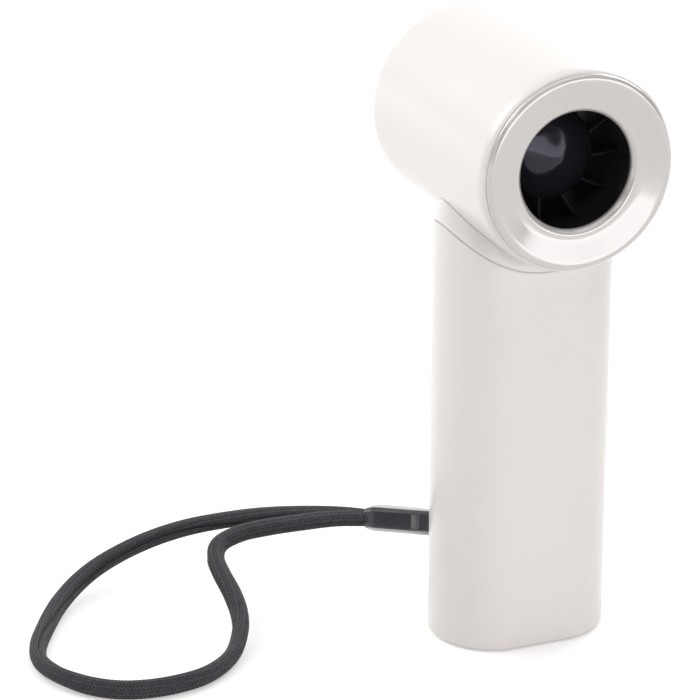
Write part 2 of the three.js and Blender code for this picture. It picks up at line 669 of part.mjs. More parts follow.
// Handle shell with an inner ledge, and holes for the button, the light and the strap anchor
const ledgeLow = BASE_SKIRT + GAP;
const handleSkin = loft([
  saddle(0, SADDLE_RADIUS),
  level(0, GAP + FOOT_ROUND),
  level(FOOT_ROUND * 0.3, GAP + FOOT_ROUND * 0.3),
  level(FOOT_ROUND, GAP),
  level(GRIP_WALL, GAP),
  level(GRIP_WALL, ledgeLow),
  level(GRIP_WALL + LEDGE_WIDTH, ledgeLow + SEAT),
  level(GRIP_WALL + LEDGE_WIDTH, ledgeLow + LEDGE_WIDTH),
  level(GRIP_WALL, ledgeLow + LEDGE_WIDTH * 1.3),
  saddle(GRIP_WALL, SADDLE_RADIUS),
]);
const lightHeight = buttonHeight - LIGHT_DROP;
const backSpan = [innerBack - GRIP_WALL, gripBack + GRIP_WALL];
const buttonHole = rod(BUTTON_RADIUS + GAP, ...backSpan, ROUND, 'y', [0, 0, buttonHeight]);
const lightHole = rod(LIGHT_RADIUS + SEAT, ...backSpan, SMALL_ROUND, 'y', [0, 0, lightHeight]);
const anchorHalf = ANCHOR_WIDTH / 2;
const anchorRise = ANCHOR_HEIGHT / 2;
const anchorHole = block(
  [-anchorHalf - GAP, anchorHalf + GAP],
  backSpan,
  [STRAP_HEIGHT - anchorRise - GAP, STRAP_HEIGHT + anchorRise + GAP],
);
place('handle_shell', cut(handleSkin, buttonHole, lightHole, anchorHole), looks.shell);

// Base cap with its skirt, the socket's opening and two countersunk screw holes
const baseInset = GRIP_WALL + GAP;
const socketMiddle = boardFront - SEAT - SOCKET_DEPTH / 2;
const baseScrewX = innerSide * 0.68;
const basePlate = slab(baseInset, 0, BASE_THICKNESS);
const baseSkirt = loft([
  level(baseInset, BASE_THICKNESS * 0.8),
  level(baseInset, BASE_SKIRT),
  level(baseInset + LEDGE_WIDTH, BASE_SKIRT),
  level(baseInset + LEDGE_WIDTH, BASE_THICKNESS * 0.8),
]);
const socketHole = block(
  [-SOCKET_WIDTH / 2 - GAP, SOCKET_WIDTH / 2 + GAP],
  [socketMiddle - SOCKET_DEPTH / 2 - GAP, socketMiddle + SOCKET_DEPTH / 2 + GAP],
  [-1, BASE_THICKNESS + 1],
);
const headSink = SCREW_HEAD_HEIGHT + SEAT;
const baseHoles = [-1, 1].flatMap((side) => [
  rod(SCREW_RADIUS + SEAT, -1, BASE_THICKNESS + 1, SMALL_ROUND, 'z', [side * baseScrewX, 0, 0]),
  rod(SCREW_HEAD_RADIUS + SEAT, -1, headSink, SMALL_ROUND, 'z', [side * baseScrewX, 0, 0]),
]);
place('base_cap', cut(join(basePlate, baseSkirt), socketHole, ...baseHoles), looks.shell);
[-1, 1].forEach((side, i) => {
  screw(`base_screw_${i + 1}`, [side * baseScrewX, 0, headSink - SEAT / 2], BASE_SCREW_LENGTH, -1);
});

// Inner chassis: floor, web behind the cell, rails, top plate and screw bosses
const chassisHalf = CELL_RADIUS + GAP + CHASSIS_WALL;
const chassisFront = cellY - CELL_RADIUS * 0.5;
const screwBoss = SCREW_RADIUS + SCREW_BOSS_WALL;
const floorHalf = baseScrewX + screwBoss + GAP;
const webHalf = chassisHalf - 0.2;
const chassisBlocks = [
  block([-floorHalf, floorHalf], [chassisFront, webBack], [CHASSIS_FLOOR, chassisTop]),
  block([-webHalf, webHalf], [webFront, webBack - 0.1], [CHASSIS_FLOOR + 0.2, boardTop - 0.2]),
  block([-chassisHalf - 0.2, chassisHalf + 0.2], [chassisFront, webBack], [topPlate, boardTop]),
  ...[-1, 1].map((side) => block(
    side > 0 ? [chassisHalf - CHASSIS_WALL, chassisHalf] : [-chassisHalf, CHASSIS_WALL - chassisHalf],
    [cellY + CELL_RADIUS * 0.2, webBack - 0.2],
    [CHASSIS_FLOOR + 0.3, boardTop - 0.3],
  )),
];
const boardScrewX = BOARD_WIDTH / 2 - screwBoss - GAP;
const boardScrewHeights = [cellBottom + CELL_LENGTH * 0.25, cellBottom + CELL_LENGTH * 0.62];
const boardScrewPlaces = [[-boardScrewX, boardScrewHeights[0]], [boardScrewX, boardScrewHeights[1]]];
const bosses = [
  ...[-1, 1].map((side) => (
    rod(screwBoss, BASE_THICKNESS + GAP, CHASSIS_FLOOR + 0.4, SMALL_ROUND, 'z', [side * baseScrewX, 0, 0])
  )),
  ...[-1, 1].map((side) => (
    rod(screwBoss + SLIP, boardTop - 0.4, skirtBottom - SEAT, SMALL_ROUND, 'z', [side * tieX, 0, 0])
  )),
  ...boardScrewPlaces.map(([x, z]) => (
    rod(screwBoss - GAP, webBack - 0.4, boardFront - SEAT, SMALL_ROUND, 'y', [x, 0, z])
  )),
];
const tiePilot = floorTop - COLLAR_SCREW_LENGTH - 2 * GAP;
const pilots = [
  ...[-1, 1].map((side) => (
    rod(SCREW_RADIUS, 0, headSink + BASE_SCREW_LENGTH + 2 * GAP, SMALL_ROUND, 'z', [side * baseScrewX, 0, 0])
  )),
  ...[-1, 1].map((side) => (
    rod(SCREW_RADIUS, tiePilot, skirtBottom + 1, SMALL_ROUND, 'z', [side * tieX, 0, 0])
  )),
  ...boardScrewPlaces.map(([x, z]) => (
    rod(SCREW_RADIUS, webFront - 1, boardBack, SMALL_ROUND, 'y', [x, 0, z])
  )),
];
place('inner_chassis', cut(join(...chassisBlocks, ...bosses), ...pilots), looks.white);

// Cell with its foam disc and tabs
const cellCentre = [0, cellY, 0];
place('battery_cell', turned([
  [0, cellBottom],
  [CELL_RADIUS - 0.4, cellBottom],
  [CELL_RADIUS, cellBottom + 0.4],
  [CELL_RADIUS, cellTop - 1.6],
  [CELL_RADIUS - 0.5, cellTop - 0.9],
  [3, cellTop - 0.9],
  [2.7, cellTop],
  [0, cellTop],
], ROUND, 'z', cellCentre), looks.cell);
const tabEnd = -CELL_RADIUS - TAB_WIDTH / 2;
const tabSpan = [cellY - TAB_WIDTH / 2, cellY + TAB_WIDTH / 2];
const tabUnder = [chassisTop + SEAT, cellBottom - SEAT];
place('negative_tab', block([tabEnd, TAB_WIDTH], tabSpan, tabUnder), looks.nickel);
const tabTop = cellTop + TAB_ROOM - SEAT;
const tabOver = [cellTop + SEAT, tabTop];
place('positive_tab', block([-TAB_WIDTH / 2, CELL_RADIUS * 0.7], tabSpan, tabOver), looks.nickel);
const foam = rod(CELL_RADIUS * 0.7, tabTop + SEAT, topPlate - SEAT, SMALL_ROUND, 'z', cellCentre);
place('cell_foam', foam, looks.foam);

// Main board with its screws and parts
const boardHalf = BOARD_WIDTH / 2;
const boardBottom = BASE_THICKNESS + SCREW_BOSS_WALL;
const boardHoles = boardScrewPlaces.map(([x, z]) => (
  rod(SCREW_RADIUS + SEAT, boardFront - 1, boardBack + 1, SMALL_ROUND, 'y', [x, 0, z])
));
const boardPlate = block([-boardHalf, boardHalf], [boardFront, boardBack], [boardBottom, boardTop]);
place('main_board', cut(boardPlate, ...boardHoles), looks.board);
const boardSeat = boardBack + SEAT;
boardScrewPlaces.forEach(([x, z], i) => {
  place(`board_screw_${i + 1}`, turned([
    [0, webFront + SEAT],
    [SCREW_RADIUS - SLIP, webFront + SEAT],
    [SCREW_RADIUS - SLIP, boardSeat],
    [SCREW_HEAD_RADIUS, boardSeat],
    [SCREW_HEAD_RADIUS, boardSeat + SCREW_HEAD_HEIGHT],
    [0, boardSeat + SCREW_HEAD_HEIGHT],
  ], SMALL_ROUND, 'y', [x, 0, z]), looks.steel);
});

function component(name, [x, z], [width, height], depth, look) {
  const across = [x - width / 2, x + width / 2];
  place(name, block(across, [boardSeat, boardSeat + depth], [z - height / 2, z + height / 2]), look);
}
const partHeight = cellBottom + CELL_LENGTH * 0.44;
const chipSize = boardHalf * 0.5;
const driverSize = chipSize * 0.8;
const inductorPlace = [boardHalf * 0.42, partHeight - CELL_LENGTH * 0.15];
const capacitorPlace = [-boardHalf * 0.5, partHeight + CELL_LENGTH * 0.12];
const chipDepth = backRoom * 0.24;
component('charge_chip', [-boardHalf * 0.42, partHeight], [chipSize, chipSize], chipDepth, looks.chip);
component('motor_driver', [boardHalf * 0.4, partHeight], [driverSize, driverSize], chipDepth, looks.chip);
component('power_inductor', inductorPlace, [chipSize, chipSize], backRoom * 0.55, looks.dark);
component('board_capacitor', capacitorPlace, [chipSize / 3, chipSize * 0.7], backRoom * 0.4, looks.nickel);
component('light_chip', [0, lightHeight], [chipSize / 3, chipSize / 3], backRoom * 0.16, looks.lens);

// Charging socket, open downward, with a tongue inside
const socketSpan = [socketMiddle - SOCKET_DEPTH / 2, socketMiddle + SOCKET_DEPTH / 2];
const socketHalf = SOCKET_WIDTH / 2;
const socketBottom = 0.5;
const socketTop = socketBottom + SOCKET_HEIGHT;
const socketCase = block([-socketHalf, socketHalf], socketSpan, [socketBottom, socketTop]);
const socketSpace = block(
  [0.35 - socketHalf, socketHalf - 0.35],
  [socketSpan[0] + 0.35, socketSpan[1] - 0.35],
  [socketBottom - 1, socketTop - 1],
);
const tongue = block(
  [1.2 - socketHalf, socketHalf - 1.2],
  [socketMiddle - 0.35, socketMiddle + 0.35],
  [socketBottom + 0.8, socketTop - 0.8],
);
place('usb_c_socket', join(cut(socketCase, socketSpace), tongue), looks.nickel);

// Switch, its plunger and the power button in front of them
const switchHeight = backRoom * 0.27;
const switchTop = boardBack + SLIP + switchHeight;
const buttonCentre = [0, 0, buttonHeight];
const switchHalf = SWITCH_SIZE / 2;
const switchSpan = [buttonHeight - switchHalf, buttonHeight + switchHalf];
const switchBox = block([-switchHalf, switchHalf], [boardBack + SLIP, switchTop], switchSpan);
const wellFloor = boardBack + 3 * SLIP;
const switchWell = rod(PLUNGER_RADIUS + SEAT, wellFloor, switchTop + 1, SMALL_ROUND, 'y', buttonCentre);
place('tact_switch', cut(switchBox, switchWell), looks.chip);
const plungerTop = boardBack + backRoom * 0.6;
const plunger = rod(PLUNGER_RADIUS, boardBack + backRoom * 0.22, plungerTop, SMALL_ROUND, 'y', buttonCentre);
place('switch_plunger', plunger, looks.white);
const flangeFront = boardBack + backRoom * 0.75;
const flangeBack = innerBack - GAP;
place('power_button', turned([
  [0, plungerTop + SLIP],
  [PLUNGER_RADIUS, plungerTop + SLIP],
  [PLUNGER_RADIUS, flangeFront],
  [BUTTON_RADIUS + BUTTON_FLANGE, flangeFront],
  [BUTTON_RADIUS + BUTTON_FLANGE, flangeBack],
  [BUTTON_RADIUS, flangeBack],
  [BUTTON_RADIUS, gripBack + BUTTON_PROUD * 0.3],
  [BUTTON_RADIUS - BUTTON_PROUD * 0.7, gripBack + BUTTON_PROUD],
  [BUTTON_RADIUS * 0.6, gripBack + BUTTON_PROUD * 0.75],
  [0, gripBack + BUTTON_PROUD * 0.6],
], ROUND, 'y', buttonCentre), looks.shell);

// Light pipe behind its hole
const pipeFront = boardSeat + backRoom * 0.16 + GAP;
place('light_pipe', turned([
  [0, pipeFront],
  [LIGHT_RADIUS + FLARE_LIP, pipeFront],
  [LIGHT_RADIUS + FLARE_LIP, innerBack - GAP],
  [LIGHT_RADIUS, innerBack - GAP],
  [LIGHT_RADIUS, gripBack - 0.1],
  [0, gripBack - 0.1],
], SMALL_ROUND, 'y', [0, 0, lightHeight]), looks.lens);

// Strap anchor cup in the grip's back, with an upright pin
const cupBottom = boardBack + GAP;
const cupTop = gripBack - 0.2;
const pinY = gripBack - 1.9;
const cupSpan = [STRAP_HEIGHT - anchorRise, STRAP_HEIGHT + anchorRise];
const cup = block([-anchorHalf, anchorHalf], [cupBottom, cupTop], cupSpan);
const cupSpace = block(
  [ANCHOR_WALL - anchorHalf, anchorHalf - ANCHOR_WALL],
  [cupBottom + ANCHOR_WALL, cupTop + 1],
  [cupSpan[0] + ANCHOR_WALL, cupSpan[1] - ANCHOR_WALL],
);
const pinHole = rod(PIN_RADIUS + SLIP, cupSpan[0] + 0.2, cupSpan[1] + 1, SMALL_ROUND, 'z', [0, pinY, 0]);
place('strap_anchor', cut(cup, cupSpace, pinHole), looks.shell);
const pin = rod(PIN_RADIUS, cupSpan[0] + 0.4, cupSpan[1] - 0.2, SMALL_ROUND, 'z', [0, pinY, 0]);
place('strap_pin', pin, looks.steel);

// Ferrule that clamps both ends of the strap, behind the grip's left side
const ferruleMouth = new THREE.Vector3(-26.2, gripBack + 13.3, STRAP_HEIGHT + 0.1);
const ferruleTurn = Math.atan2(-9.2, 14);
const inward = new THREE.Vector3(Math.cos(ferruleTurn), Math.sin(ferruleTurn), 0);
const ferruleRoll = degrees(FERRULE_ROLL);
const rollShare = Math.cos(ferruleRoll);
const aside = new THREE.Vector3(-inward.y * rollShare, inward.x * rollShare, -Math.sin(ferruleRoll));
const ferruleBack = ferruleMouth.clone().addScaledVector(inward, FERRULE_LENGTH);
const sectionHalves = [FERRULE_DEPTH, FERRULE_HEIGHT].map((size) => size / 2 - FERRULE_CHAMFER);
const section = rectangle(THREE.Shape, ...sectionHalves);
const ferruleBody = new THREE.ExtrudeGeometry(section, {
  depth: FERRULE_LENGTH - 2 * FERRULE_CHAMFER,
  bevelThickness: FERRULE_CHAMFER,
  bevelSize: FERRULE_CHAMFER,
  bevelSegments: 2,
});
ferruleBody.rotateZ(-ferruleRoll).translate(0, 0, FERRULE_CHAMFER);
ferruleBody.rotateX(Math.PI / 2).rotateZ(ferruleTurn + Math.PI / 2);
ferruleBody.translate(...ferruleMouth);
const cordEnd = (side) => ferruleMouth.clone().addScaledVector(aside, (side * CORD_SPACING) / 2);
const alongFerrule = (point, distance) => point.clone().addScaledVector(inward, distance).toArray();
const sockets = [-1, 1].map((side) => {
  const mouth = cordEnd(side);
  const ends = [alongFerrule(mouth, -2), alongFerrule(mouth, CORD_GRIPPED + 1)];
  return tube(ends, CORD_RADIUS + SEAT, 10, 1);
});
const tetherSpread = TETHER_RADIUS + SEAT;
const tetherEnd = (side) => ferruleBack.clone().addScaledVector(aside, side * tetherSpread);
const tetherHoles = [-1, 1].map((side) => (
  tube([alongFerrule(tetherEnd(side), 2), alongFerrule(tetherEnd(side), -4)], TETHER_RADIUS + 0.1, 8, 1)
));
place('strap_ferrule', cut(solid(ferruleBody), ...sockets, ...tetherHoles), looks.ferrule);

// Thin tether: out of the ferrule, round the pin and back
const wrap = PIN_RADIUS + TETHER_RADIUS + GAP;
const roundPin = [35, 0, -30, -60, -90, -120, -150, -180, -210].map((turn) => (
  [wrap * Math.cos(degrees(turn)), pinY + wrap * Math.sin(degrees(turn)), STRAP_HEIGHT]
));
const tetherRoute = [
  alongFerrule(tetherEnd(1), -3.5),
  alongFerrule(tetherEnd(1), 0),
  [-5, gripBack + 2.7, STRAP_HEIGHT],
  [-0.4, gripBack + 0.9, STRAP_HEIGHT],
  ...roundPin,
  [-3.4, gripBack + 0.9, STRAP_HEIGHT],
  [-6.5, gripBack + 1.9, STRAP_HEIGHT],
  alongFerrule(tetherEnd(-1), 0),
  alongFerrule(tetherEnd(-1), -3.5),
];
place('strap_tether', tube(tetherRoute, TETHER_RADIUS, 8, 40), looks.braid);

// Wrist loop: it leaves the ferrule level, sinks to the ground and comes back in front of itself
const strapRoute = [
  alongFerrule(cordEnd(1), CORD_GRIPPED),
  cordEnd(1).toArray(),
  [-30.8, 34.4, 18.6],
  [-37.8, 41.3, 17.1],
  [-45.6, 47.6, 15.3],
  [-54, 52.6, 13.3],
  [-60.7, 55.5, 11.7],
  [-67.9, 57.1, 9.9],
  [-75.6, 57.1, 7.9],
  [-84, 54.8, 5.9],
  [-90.4, 51.1, 4.4],
  [-97.7, 44, 3],
  [-104.3, 34.4, 2.2],
  [-109.4, 24.6, 2.1],
  [-111.2, 16.8, 2.4],
  [-109.5, 8.3, 2.7],
  [-104.7, 1.2, 2.4],
  [-99, -2.9, 2.2],
  [-92.6, -4.9, 2.2],
  [-85.5, -5, 2.2],
  [-78.3, -3, 2.1],
  [-70.2, 3.1, 2.3],
  [-64.9, 11.1, 3.8],
  [-62.6, 17.6, 5.6],
  [-61.9, 24.1, 7.8],
  [-62, 30.9, 10.1],
  [-61.3, 36.5, 11.7],
  [-58.6, 40.6, 12.9],
  [-52.7, 42.7, 13.8],
  [-45.7, 40.9, 15.1],
  [-39.7, 36.6, 17],
  [-32.9, 30.5, 19.4],
  cordEnd(-1).toArray(),
  alongFerrule(cordEnd(-1), CORD_GRIPPED),
];
place('strap_cord', tube(strapRoute, CORD_RADIUS, 8, 54), looks.braid);

// Motor leads down the neck to the board, and battery leads around the chassis
const leadLooks = [looks.red, looks.blackLead, looks.yellow];
leadLooks.forEach((look, i) => {
  const x = (i - 1) * (2 * LEAD_RADIUS + GAP);
  place(`motor_lead_${i + 1}`, tube([
    [x, wireY, axisHeight - hubBore + 1.4],
    [x, wireY, axisHeight - ductOuter],
    [x, wireY, neckFloor - 2],
    [x, wireY + 0.4, skirtBottom + 3],
    [x, wireY + 1.4, skirtBottom - 0.5],
    [x, webFront - 1, (skirtBottom + boardTop) / 2 + 0.1],
    [x, boardBack, (skirtBottom + boardTop) / 2 + 0.1],
    [x, boardSeat + LEAD_RADIUS + 0.5, boardTop - 1],
    [x, boardSeat + LEAD_RADIUS, boardTop - 4],
  ], LEAD_RADIUS, 8, 14), look);
});
const leadSide = chassisHalf + 2 * BATTERY_LEAD_RADIUS + GAP;
const leadOver = boardSeat + BATTERY_LEAD_RADIUS + GAP;
place('battery_lead_positive', tube([
  [CELL_RADIUS * 0.7 + BATTERY_LEAD_RADIUS + SEAT, cellY, tabTop - SEAT],
  [chassisHalf + BATTERY_LEAD_RADIUS, cellY - CELL_RADIUS * 0.05, cellTop - CELL_RADIUS * 0.15],
  [leadSide, webFront - CELL_RADIUS * 0.43, cellTop - CELL_RADIUS * 0.54],
  [leadSide, boardFront - CELL_RADIUS * 0.05, cellTop - CELL_RADIUS * 0.87],
  [boardHalf + GAP, leadOver, cellTop - CELL_RADIUS * 0.98],
  [boardHalf * 0.75, leadOver - SEAT, cellTop - CELL_RADIUS],
], BATTERY_LEAD_RADIUS, 8, 10), looks.red);
place('battery_lead_negative', tube([
  [tabEnd + BATTERY_LEAD_RADIUS, cellY, cellBottom + BATTERY_LEAD_RADIUS],
  [-leadSide, cellY + CELL_RADIUS * 0.22, cellBottom + CELL_RADIUS * 0.15],
  [-leadSide, webFront - CELL_RADIUS * 0.43, cellBottom + CELL_RADIUS * 0.33],
  [-leadSide, boardFront - CELL_RADIUS * 0.05, chassisTop + CELL_RADIUS * 0.65],
  [-boardHalf - GAP, leadOver, chassisTop + CELL_RADIUS * 1.3],
  [-boardHalf * 0.75, leadOver - SEAT, chassisTop + CELL_RADIUS * 1.4],
], BATTERY_LEAD_RADIUS, 8, 10), looks.blackLead);

export default fan;
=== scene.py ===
"""Handheld fan with a tubular head, a flat-sided oval grip and a wrist strap.

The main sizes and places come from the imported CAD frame. This add-on works out the pieces that show
in millimetres, makes them in the frame's metres and adds their finishes and a studio stage.
"""
import math
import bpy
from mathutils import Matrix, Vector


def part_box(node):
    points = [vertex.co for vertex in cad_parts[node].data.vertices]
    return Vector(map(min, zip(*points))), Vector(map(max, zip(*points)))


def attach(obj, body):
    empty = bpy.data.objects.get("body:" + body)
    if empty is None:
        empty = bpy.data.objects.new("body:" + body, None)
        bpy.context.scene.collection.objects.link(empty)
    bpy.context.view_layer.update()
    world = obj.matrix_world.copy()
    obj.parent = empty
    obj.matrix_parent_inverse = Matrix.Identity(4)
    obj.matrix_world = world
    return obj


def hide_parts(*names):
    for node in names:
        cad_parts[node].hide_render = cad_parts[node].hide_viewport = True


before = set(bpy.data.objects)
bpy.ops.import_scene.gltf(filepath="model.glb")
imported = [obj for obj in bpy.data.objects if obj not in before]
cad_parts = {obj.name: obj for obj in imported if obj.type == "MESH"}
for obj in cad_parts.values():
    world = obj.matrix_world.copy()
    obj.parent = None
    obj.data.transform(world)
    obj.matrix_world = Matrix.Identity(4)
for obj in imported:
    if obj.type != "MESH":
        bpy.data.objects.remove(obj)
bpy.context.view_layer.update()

from types import SimpleNamespace

import bmesh
import bpy
from bpy.props import FloatProperty, FloatVectorProperty, IntProperty, PointerProperty
from mathutils import Matrix, Vector

bl_info = {
    "name": "Handheld fan",
    "version": (1, 0, 0),
    "blender": (4, 5, 0),
    "location": "View3D > Sidebar > Fan",
    "description": "Builds the visible pieces of a handheld fan around its CAD frame",
    "category": "Object",
}

MM = 0.001
UP = Vector((0, 0, 1))

# Fits in millimetres: the gap between pieces, and the flanges that seat the duct's pieces in the head
GAP = 0.3
FLANGE_LENGTH = 1.5
FLANGE_HEIGHT = 1.8

# The ferrule's length, its mouth, where both ends of the strap leave it, and its three directions
FERRULE_LENGTH = 16.5
FERRULE_ROLL = math.radians(-18)
FERRULE_MOUTH = Vector((-26.2, 27.85, 19.6))
FERRULE_INWARD = Vector((14, -9.2, 0)).normalized()
FERRULE_ASIDE = Matrix.Rotation(FERRULE_ROLL, 3, FERRULE_INWARD) @ Vector((9.2, 14, 0)).normalized()
FERRULE_UP = FERRULE_INWARD.cross(FERRULE_ASIDE)

# How far each strap end lies from the ferrule's middle, and the stretch of it that the ferrule grips
STRAP_ASIDE = 2.2
STRAP_ENDS = [FERRULE_MOUTH + FERRULE_ASIDE * side for side in (STRAP_ASIDE, -STRAP_ASIDE)]
STRAP_GRIPPED = FERRULE_INWARD * 6

# The wrist strap's centreline, from inside the ferrule, round the loop and back
STRAP_ROUTE = [
    STRAP_ENDS[0] + STRAP_GRIPPED, STRAP_ENDS[0],
    (-30.8, 34.4, 18.6), (-37.8, 41.3, 17.1), (-45.6, 47.6, 15.3), (-54, 52.6, 13.3), (-60.7, 55.5, 11.7),
    (-67.9, 57.1, 9.9), (-75.6, 57.1, 7.9), (-84, 54.8, 5.9), (-90.4, 51.1, 4.4), (-97.7, 44, 3),
    (-104.3, 34.4, 2.2), (-109.4, 24.6, 2.1), (-111.2, 16.8, 2.4), (-109.5, 8.3, 2.7), (-104.7, 1.2, 2.4),
    (-99, -2.9, 2.2), (-92.6, -4.9, 2.2), (-85.5, -5, 2.2), (-78.3, -3, 2.1), (-70.2, 3.1, 2.3),
    (-64.9, 11.1, 3.8), (-62.6, 17.6, 5.6), (-61.9, 24.1, 7.8), (-62, 30.9, 10.1), (-61.3, 36.5, 11.7),
    (-58.6, 40.6, 12.9), (-52.7, 42.7, 13.8), (-45.7, 40.9, 15.1), (-39.7, 36.6, 17), (-32.9, 30.5, 19.4),
    STRAP_ENDS[1], STRAP_ENDS[1] + STRAP_GRIPPED,
]

# The camera's turns in degrees, and its place along its own directions and its lens in millimetres
CAMERA_TURN, CAMERA_TILT, CAMERA_ROLL = -22.727, 21.013, 0.161
CAMERA_PLACE = Vector((-38.73, 63.75, 812.67))
CAMERA_LENS, CAMERA_SENSOR = 177.6, 36

# Each lamp's name, place, height of its aim above the origin, width and height in metres, and its watts
LAMPS = [
    ("front", (0.24, -0.98, 0.25), 0.11, 1.45, 0.41, 5.35),
    ("front_top", (0.3, -0.6, 0.95), 0.1, 1.5, 0.4, 1.5),
    ("left_front", (-0.604, -0.507, 0.706), 0.09, 0.26, 0.26, 0.45),
    ("top", (-0.2, 0.03, 1.0), 0.09, 0.95, 1.55, 5.6),
    ("left_low", (-0.85, -0.3, 0.22), 0.09, 0.6, 0.4, 0.55),
    ("back", (-0.15, 1.15, 0.54), 0.08, 2.4, 1.12, 7.8),
    ("left_back", (-0.75, 0.6, 0.78), 0.08, 0.7, 0.7, 6.0),
    ("right_back", (0.85, 0.58, 0.66), 0.08, 0.6, 0.6, 7.5),
]
AMBIENT = 0.14


def linear(code):
    """Linear RGB of an sRGB hex colour."""
    parts = [int(code[i:i + 2], 16) / 255 for i in (1, 3, 5)]
    return [p / 12.92 if p <= 0.04045 else ((p + 0.055) / 1.055) ** 2.4 for p in parts]


def shade(tone, share=1.0):
    """RGBA of a share of a linear colour."""
    return [c * share for c in tone] + [1]


def corners(node):
    """Lowest and highest corner of a CAD node, in millimetres."""
    low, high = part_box(node)
    return low / MM, high / MM


def middle(box):
    """Middle of a box of two corners."""
    return (box[0] + box[1]) / 2


SHELL = corners("head_shell")
BEZEL = corners("front_bezel")
NOZZLE = corners("outlet_nozzle")
STATOR = corners("stator_housing")
NOSE = corners("nose_cone")
IMPELLER = corners("impeller")
NUT = corners("impeller_nut")
SHROUD = corners("impeller_shroud")
GRILLE = corners("intake_grille")
COLLAR = corners("neck_collar")
GRIP = corners("handle_shell")
BASE = corners("base_cap")
SCREWS = [corners("base_screw_1"), corners("base_screw_2")]
SOCKET = corners("usb_c_socket")
BUTTON = corners("power_button")
LIGHT = corners("light_pipe")
ANCHOR = corners("strap_anchor")
PIN = corners("strap_pin")


def length(name, description, millimetres):
    return FloatProperty(name=name, description=description, default=millimetres * MM, unit="LENGTH")


def count(name, description, number, least):
    return IntProperty(name=name, description=description, default=number, min=least)


def colour(name, description, code):
    return FloatVectorProperty(
        name=name, description=description, default=linear(code), subtype="COLOR", size=3, min=0, max=1,
    )


class FanHeadSizes(bpy.types.PropertyGroup):
    """Sizes of the head"""
    radius: length("Head radius", "Outside of the head shell", SHELL[1].x)
    wall: length("Head wall", "Thickness of the head shell", 1.7)
    throat: length("Throat radius", "Narrowest opening of the bezel", 13.55)
    duct: length("Duct radius", "Inside of the duct at the vanes", 17.7)
    hub: length("Hub radius", "Outside of the hub that carries the nose cone", NOSE[1].x)
    vane_thickness: length("Vane thickness", "Thickness of a stator vane", 0.9)
    vane_count: count("Vanes", "Number of stator vanes", 12, 3)
    blade_count: count("Blades", "Number of impeller blades", 9, 3)


class FanGripSizes(bpy.types.PropertyGroup):
    """Sizes of the grip"""
    width: length("Grip width", "Across the two round sides", GRIP[1].x - GRIP[0].x)
    depth: length("Grip depth", "Between the flat front and back", GRIP[1].y - GRIP[0].y)
    wall: length("Grip wall", "Thickness of the grip", 1.8)
    saddle: length("Saddle radius", "Cylinder about the motor axis that cuts the grip's top", 27.1)
    taper: length("Collar taper", "How far the collar draws in toward the head", 1.35)


class FanStrapSizes(bpy.types.PropertyGroup):
    """Sizes of the wrist strap"""
    width: length("Strap width", "Across the flattened braid", 4.5)
    thickness: length("Strap thickness", "Through the flattened braid", 3.7)
    lay: length("Braid lay", "Length in which a yarn goes once round", 13)
    yarns: count("Yarns", "Yarns in each direction of the braid", 16, 4)
    thread: length("Tether diameter", "Thin cord between the anchor and the ferrule", 1.2)


class FanColours(bpy.types.PropertyGroup):
    """Colours of the finishes that show"""
    shell: colour("Shell", "Warm white of the moulded shells", "#E5E0DE")
    bezel: colour("Bezel", "Pearl white of the front ring", "#BDB6B4")
    duct: colour("Duct", "Black of the duct and the vanes", "#3C3B3E")
    nose: colour("Nose cone", "Polished black of the nose cone", "#1E1D23")
    strap: colour("Strap", "Charcoal of the braid", "#252328")
    ferrule: colour("Ferrule", "Charcoal of the strap's clamp", "#3B3A41")
    inner: colour("Inner plastic", "Off-white of the impeller and grille", "#DEDBD6")
    floor: colour("Floor", "Pale floor of the stage", "#D8D7D5")


def sizes(context):
    """Sizes in millimetres, with those that follow from them."""
    head, grip = context.scene.fan_head, context.scene.fan_grip
    s = SimpleNamespace(
        radius=head.radius / MM, bore=(head.radius - head.wall) / MM, throat=head.throat / MM,
        duct=head.duct / MM, hub=head.hub / MM, vane=head.vane_thickness / MM, axis=middle(SHELL).z,
        width=grip.width / MM, depth=grip.depth / MM, wall=grip.wall / MM, saddle=grip.saddle / MM,
        taper=grip.taper / MM,
    )
    s.centre = Vector((0, 0, s.axis))
    s.back = s.depth / 2
    return s


# Shapes

def put(name, data):
    """A new object in the scene."""
    made = bpy.data.objects.new(name, data)
    bpy.context.scene.collection.objects.link(made)
    return made


def drop(*pieces):
    """Removes pieces with their meshes."""
    for piece in pieces:
        mesh = piece.data
        bpy.data.objects.remove(piece)
        bpy.data.meshes.remove(mesh)


def smooth(mesh, crease):
    """Shades a mesh smooth, with its edges beyond the crease angle left sharp."""
    mesh.polygons.foreach_set("use_smooth", [True] * len(mesh.polygons))
    mesh.set_sharp_from_angle(angle=math.radians(crease))


def mesh_of(name, points, faces):
    """A mesh of points in millimetres."""
    mesh = bpy.data.meshes.new(name)
    mesh.from_pydata([Vector(p) * MM for p in points], [], faces)
    return mesh


def skin(name, rings, ends="joined", crease=35):
    """A surface through rings of points in millimetres. Its ends are joined, capped or left at poles."""
    around = len(rings[0])
    faces = []
    for i in range(len(rings) if ends == "joined" else len(rings) - 1):
        here, there = i * around, (i + 1) % len(rings) * around
        for j in range(around):
            k = (j + 1) % around
            faces.append((here + j, here + k, there + k, there + j))
    if ends == "capped":
        faces.append(tuple(range(around))[::-1])
        faces.append(tuple(range((len(rings) - 1) * around, len(rings) * around)))
    mesh = mesh_of(name, [p for ring in rings for p in ring], faces)
    form = bmesh.new()
    form.from_mesh(mesh)
    bmesh.ops.remove_doubles(form, verts=form.verts, dist=1e-7)
    bmesh.ops.recalc_face_normals(form, faces=form.faces)
    form.to_mesh(mesh)
    form.free()
    smooth(mesh, crease)
    return put(name, mesh)


def even_turns(steps):
    """Angles at even steps once round."""
    return [2 * math.pi * i / steps for i in range(steps)]


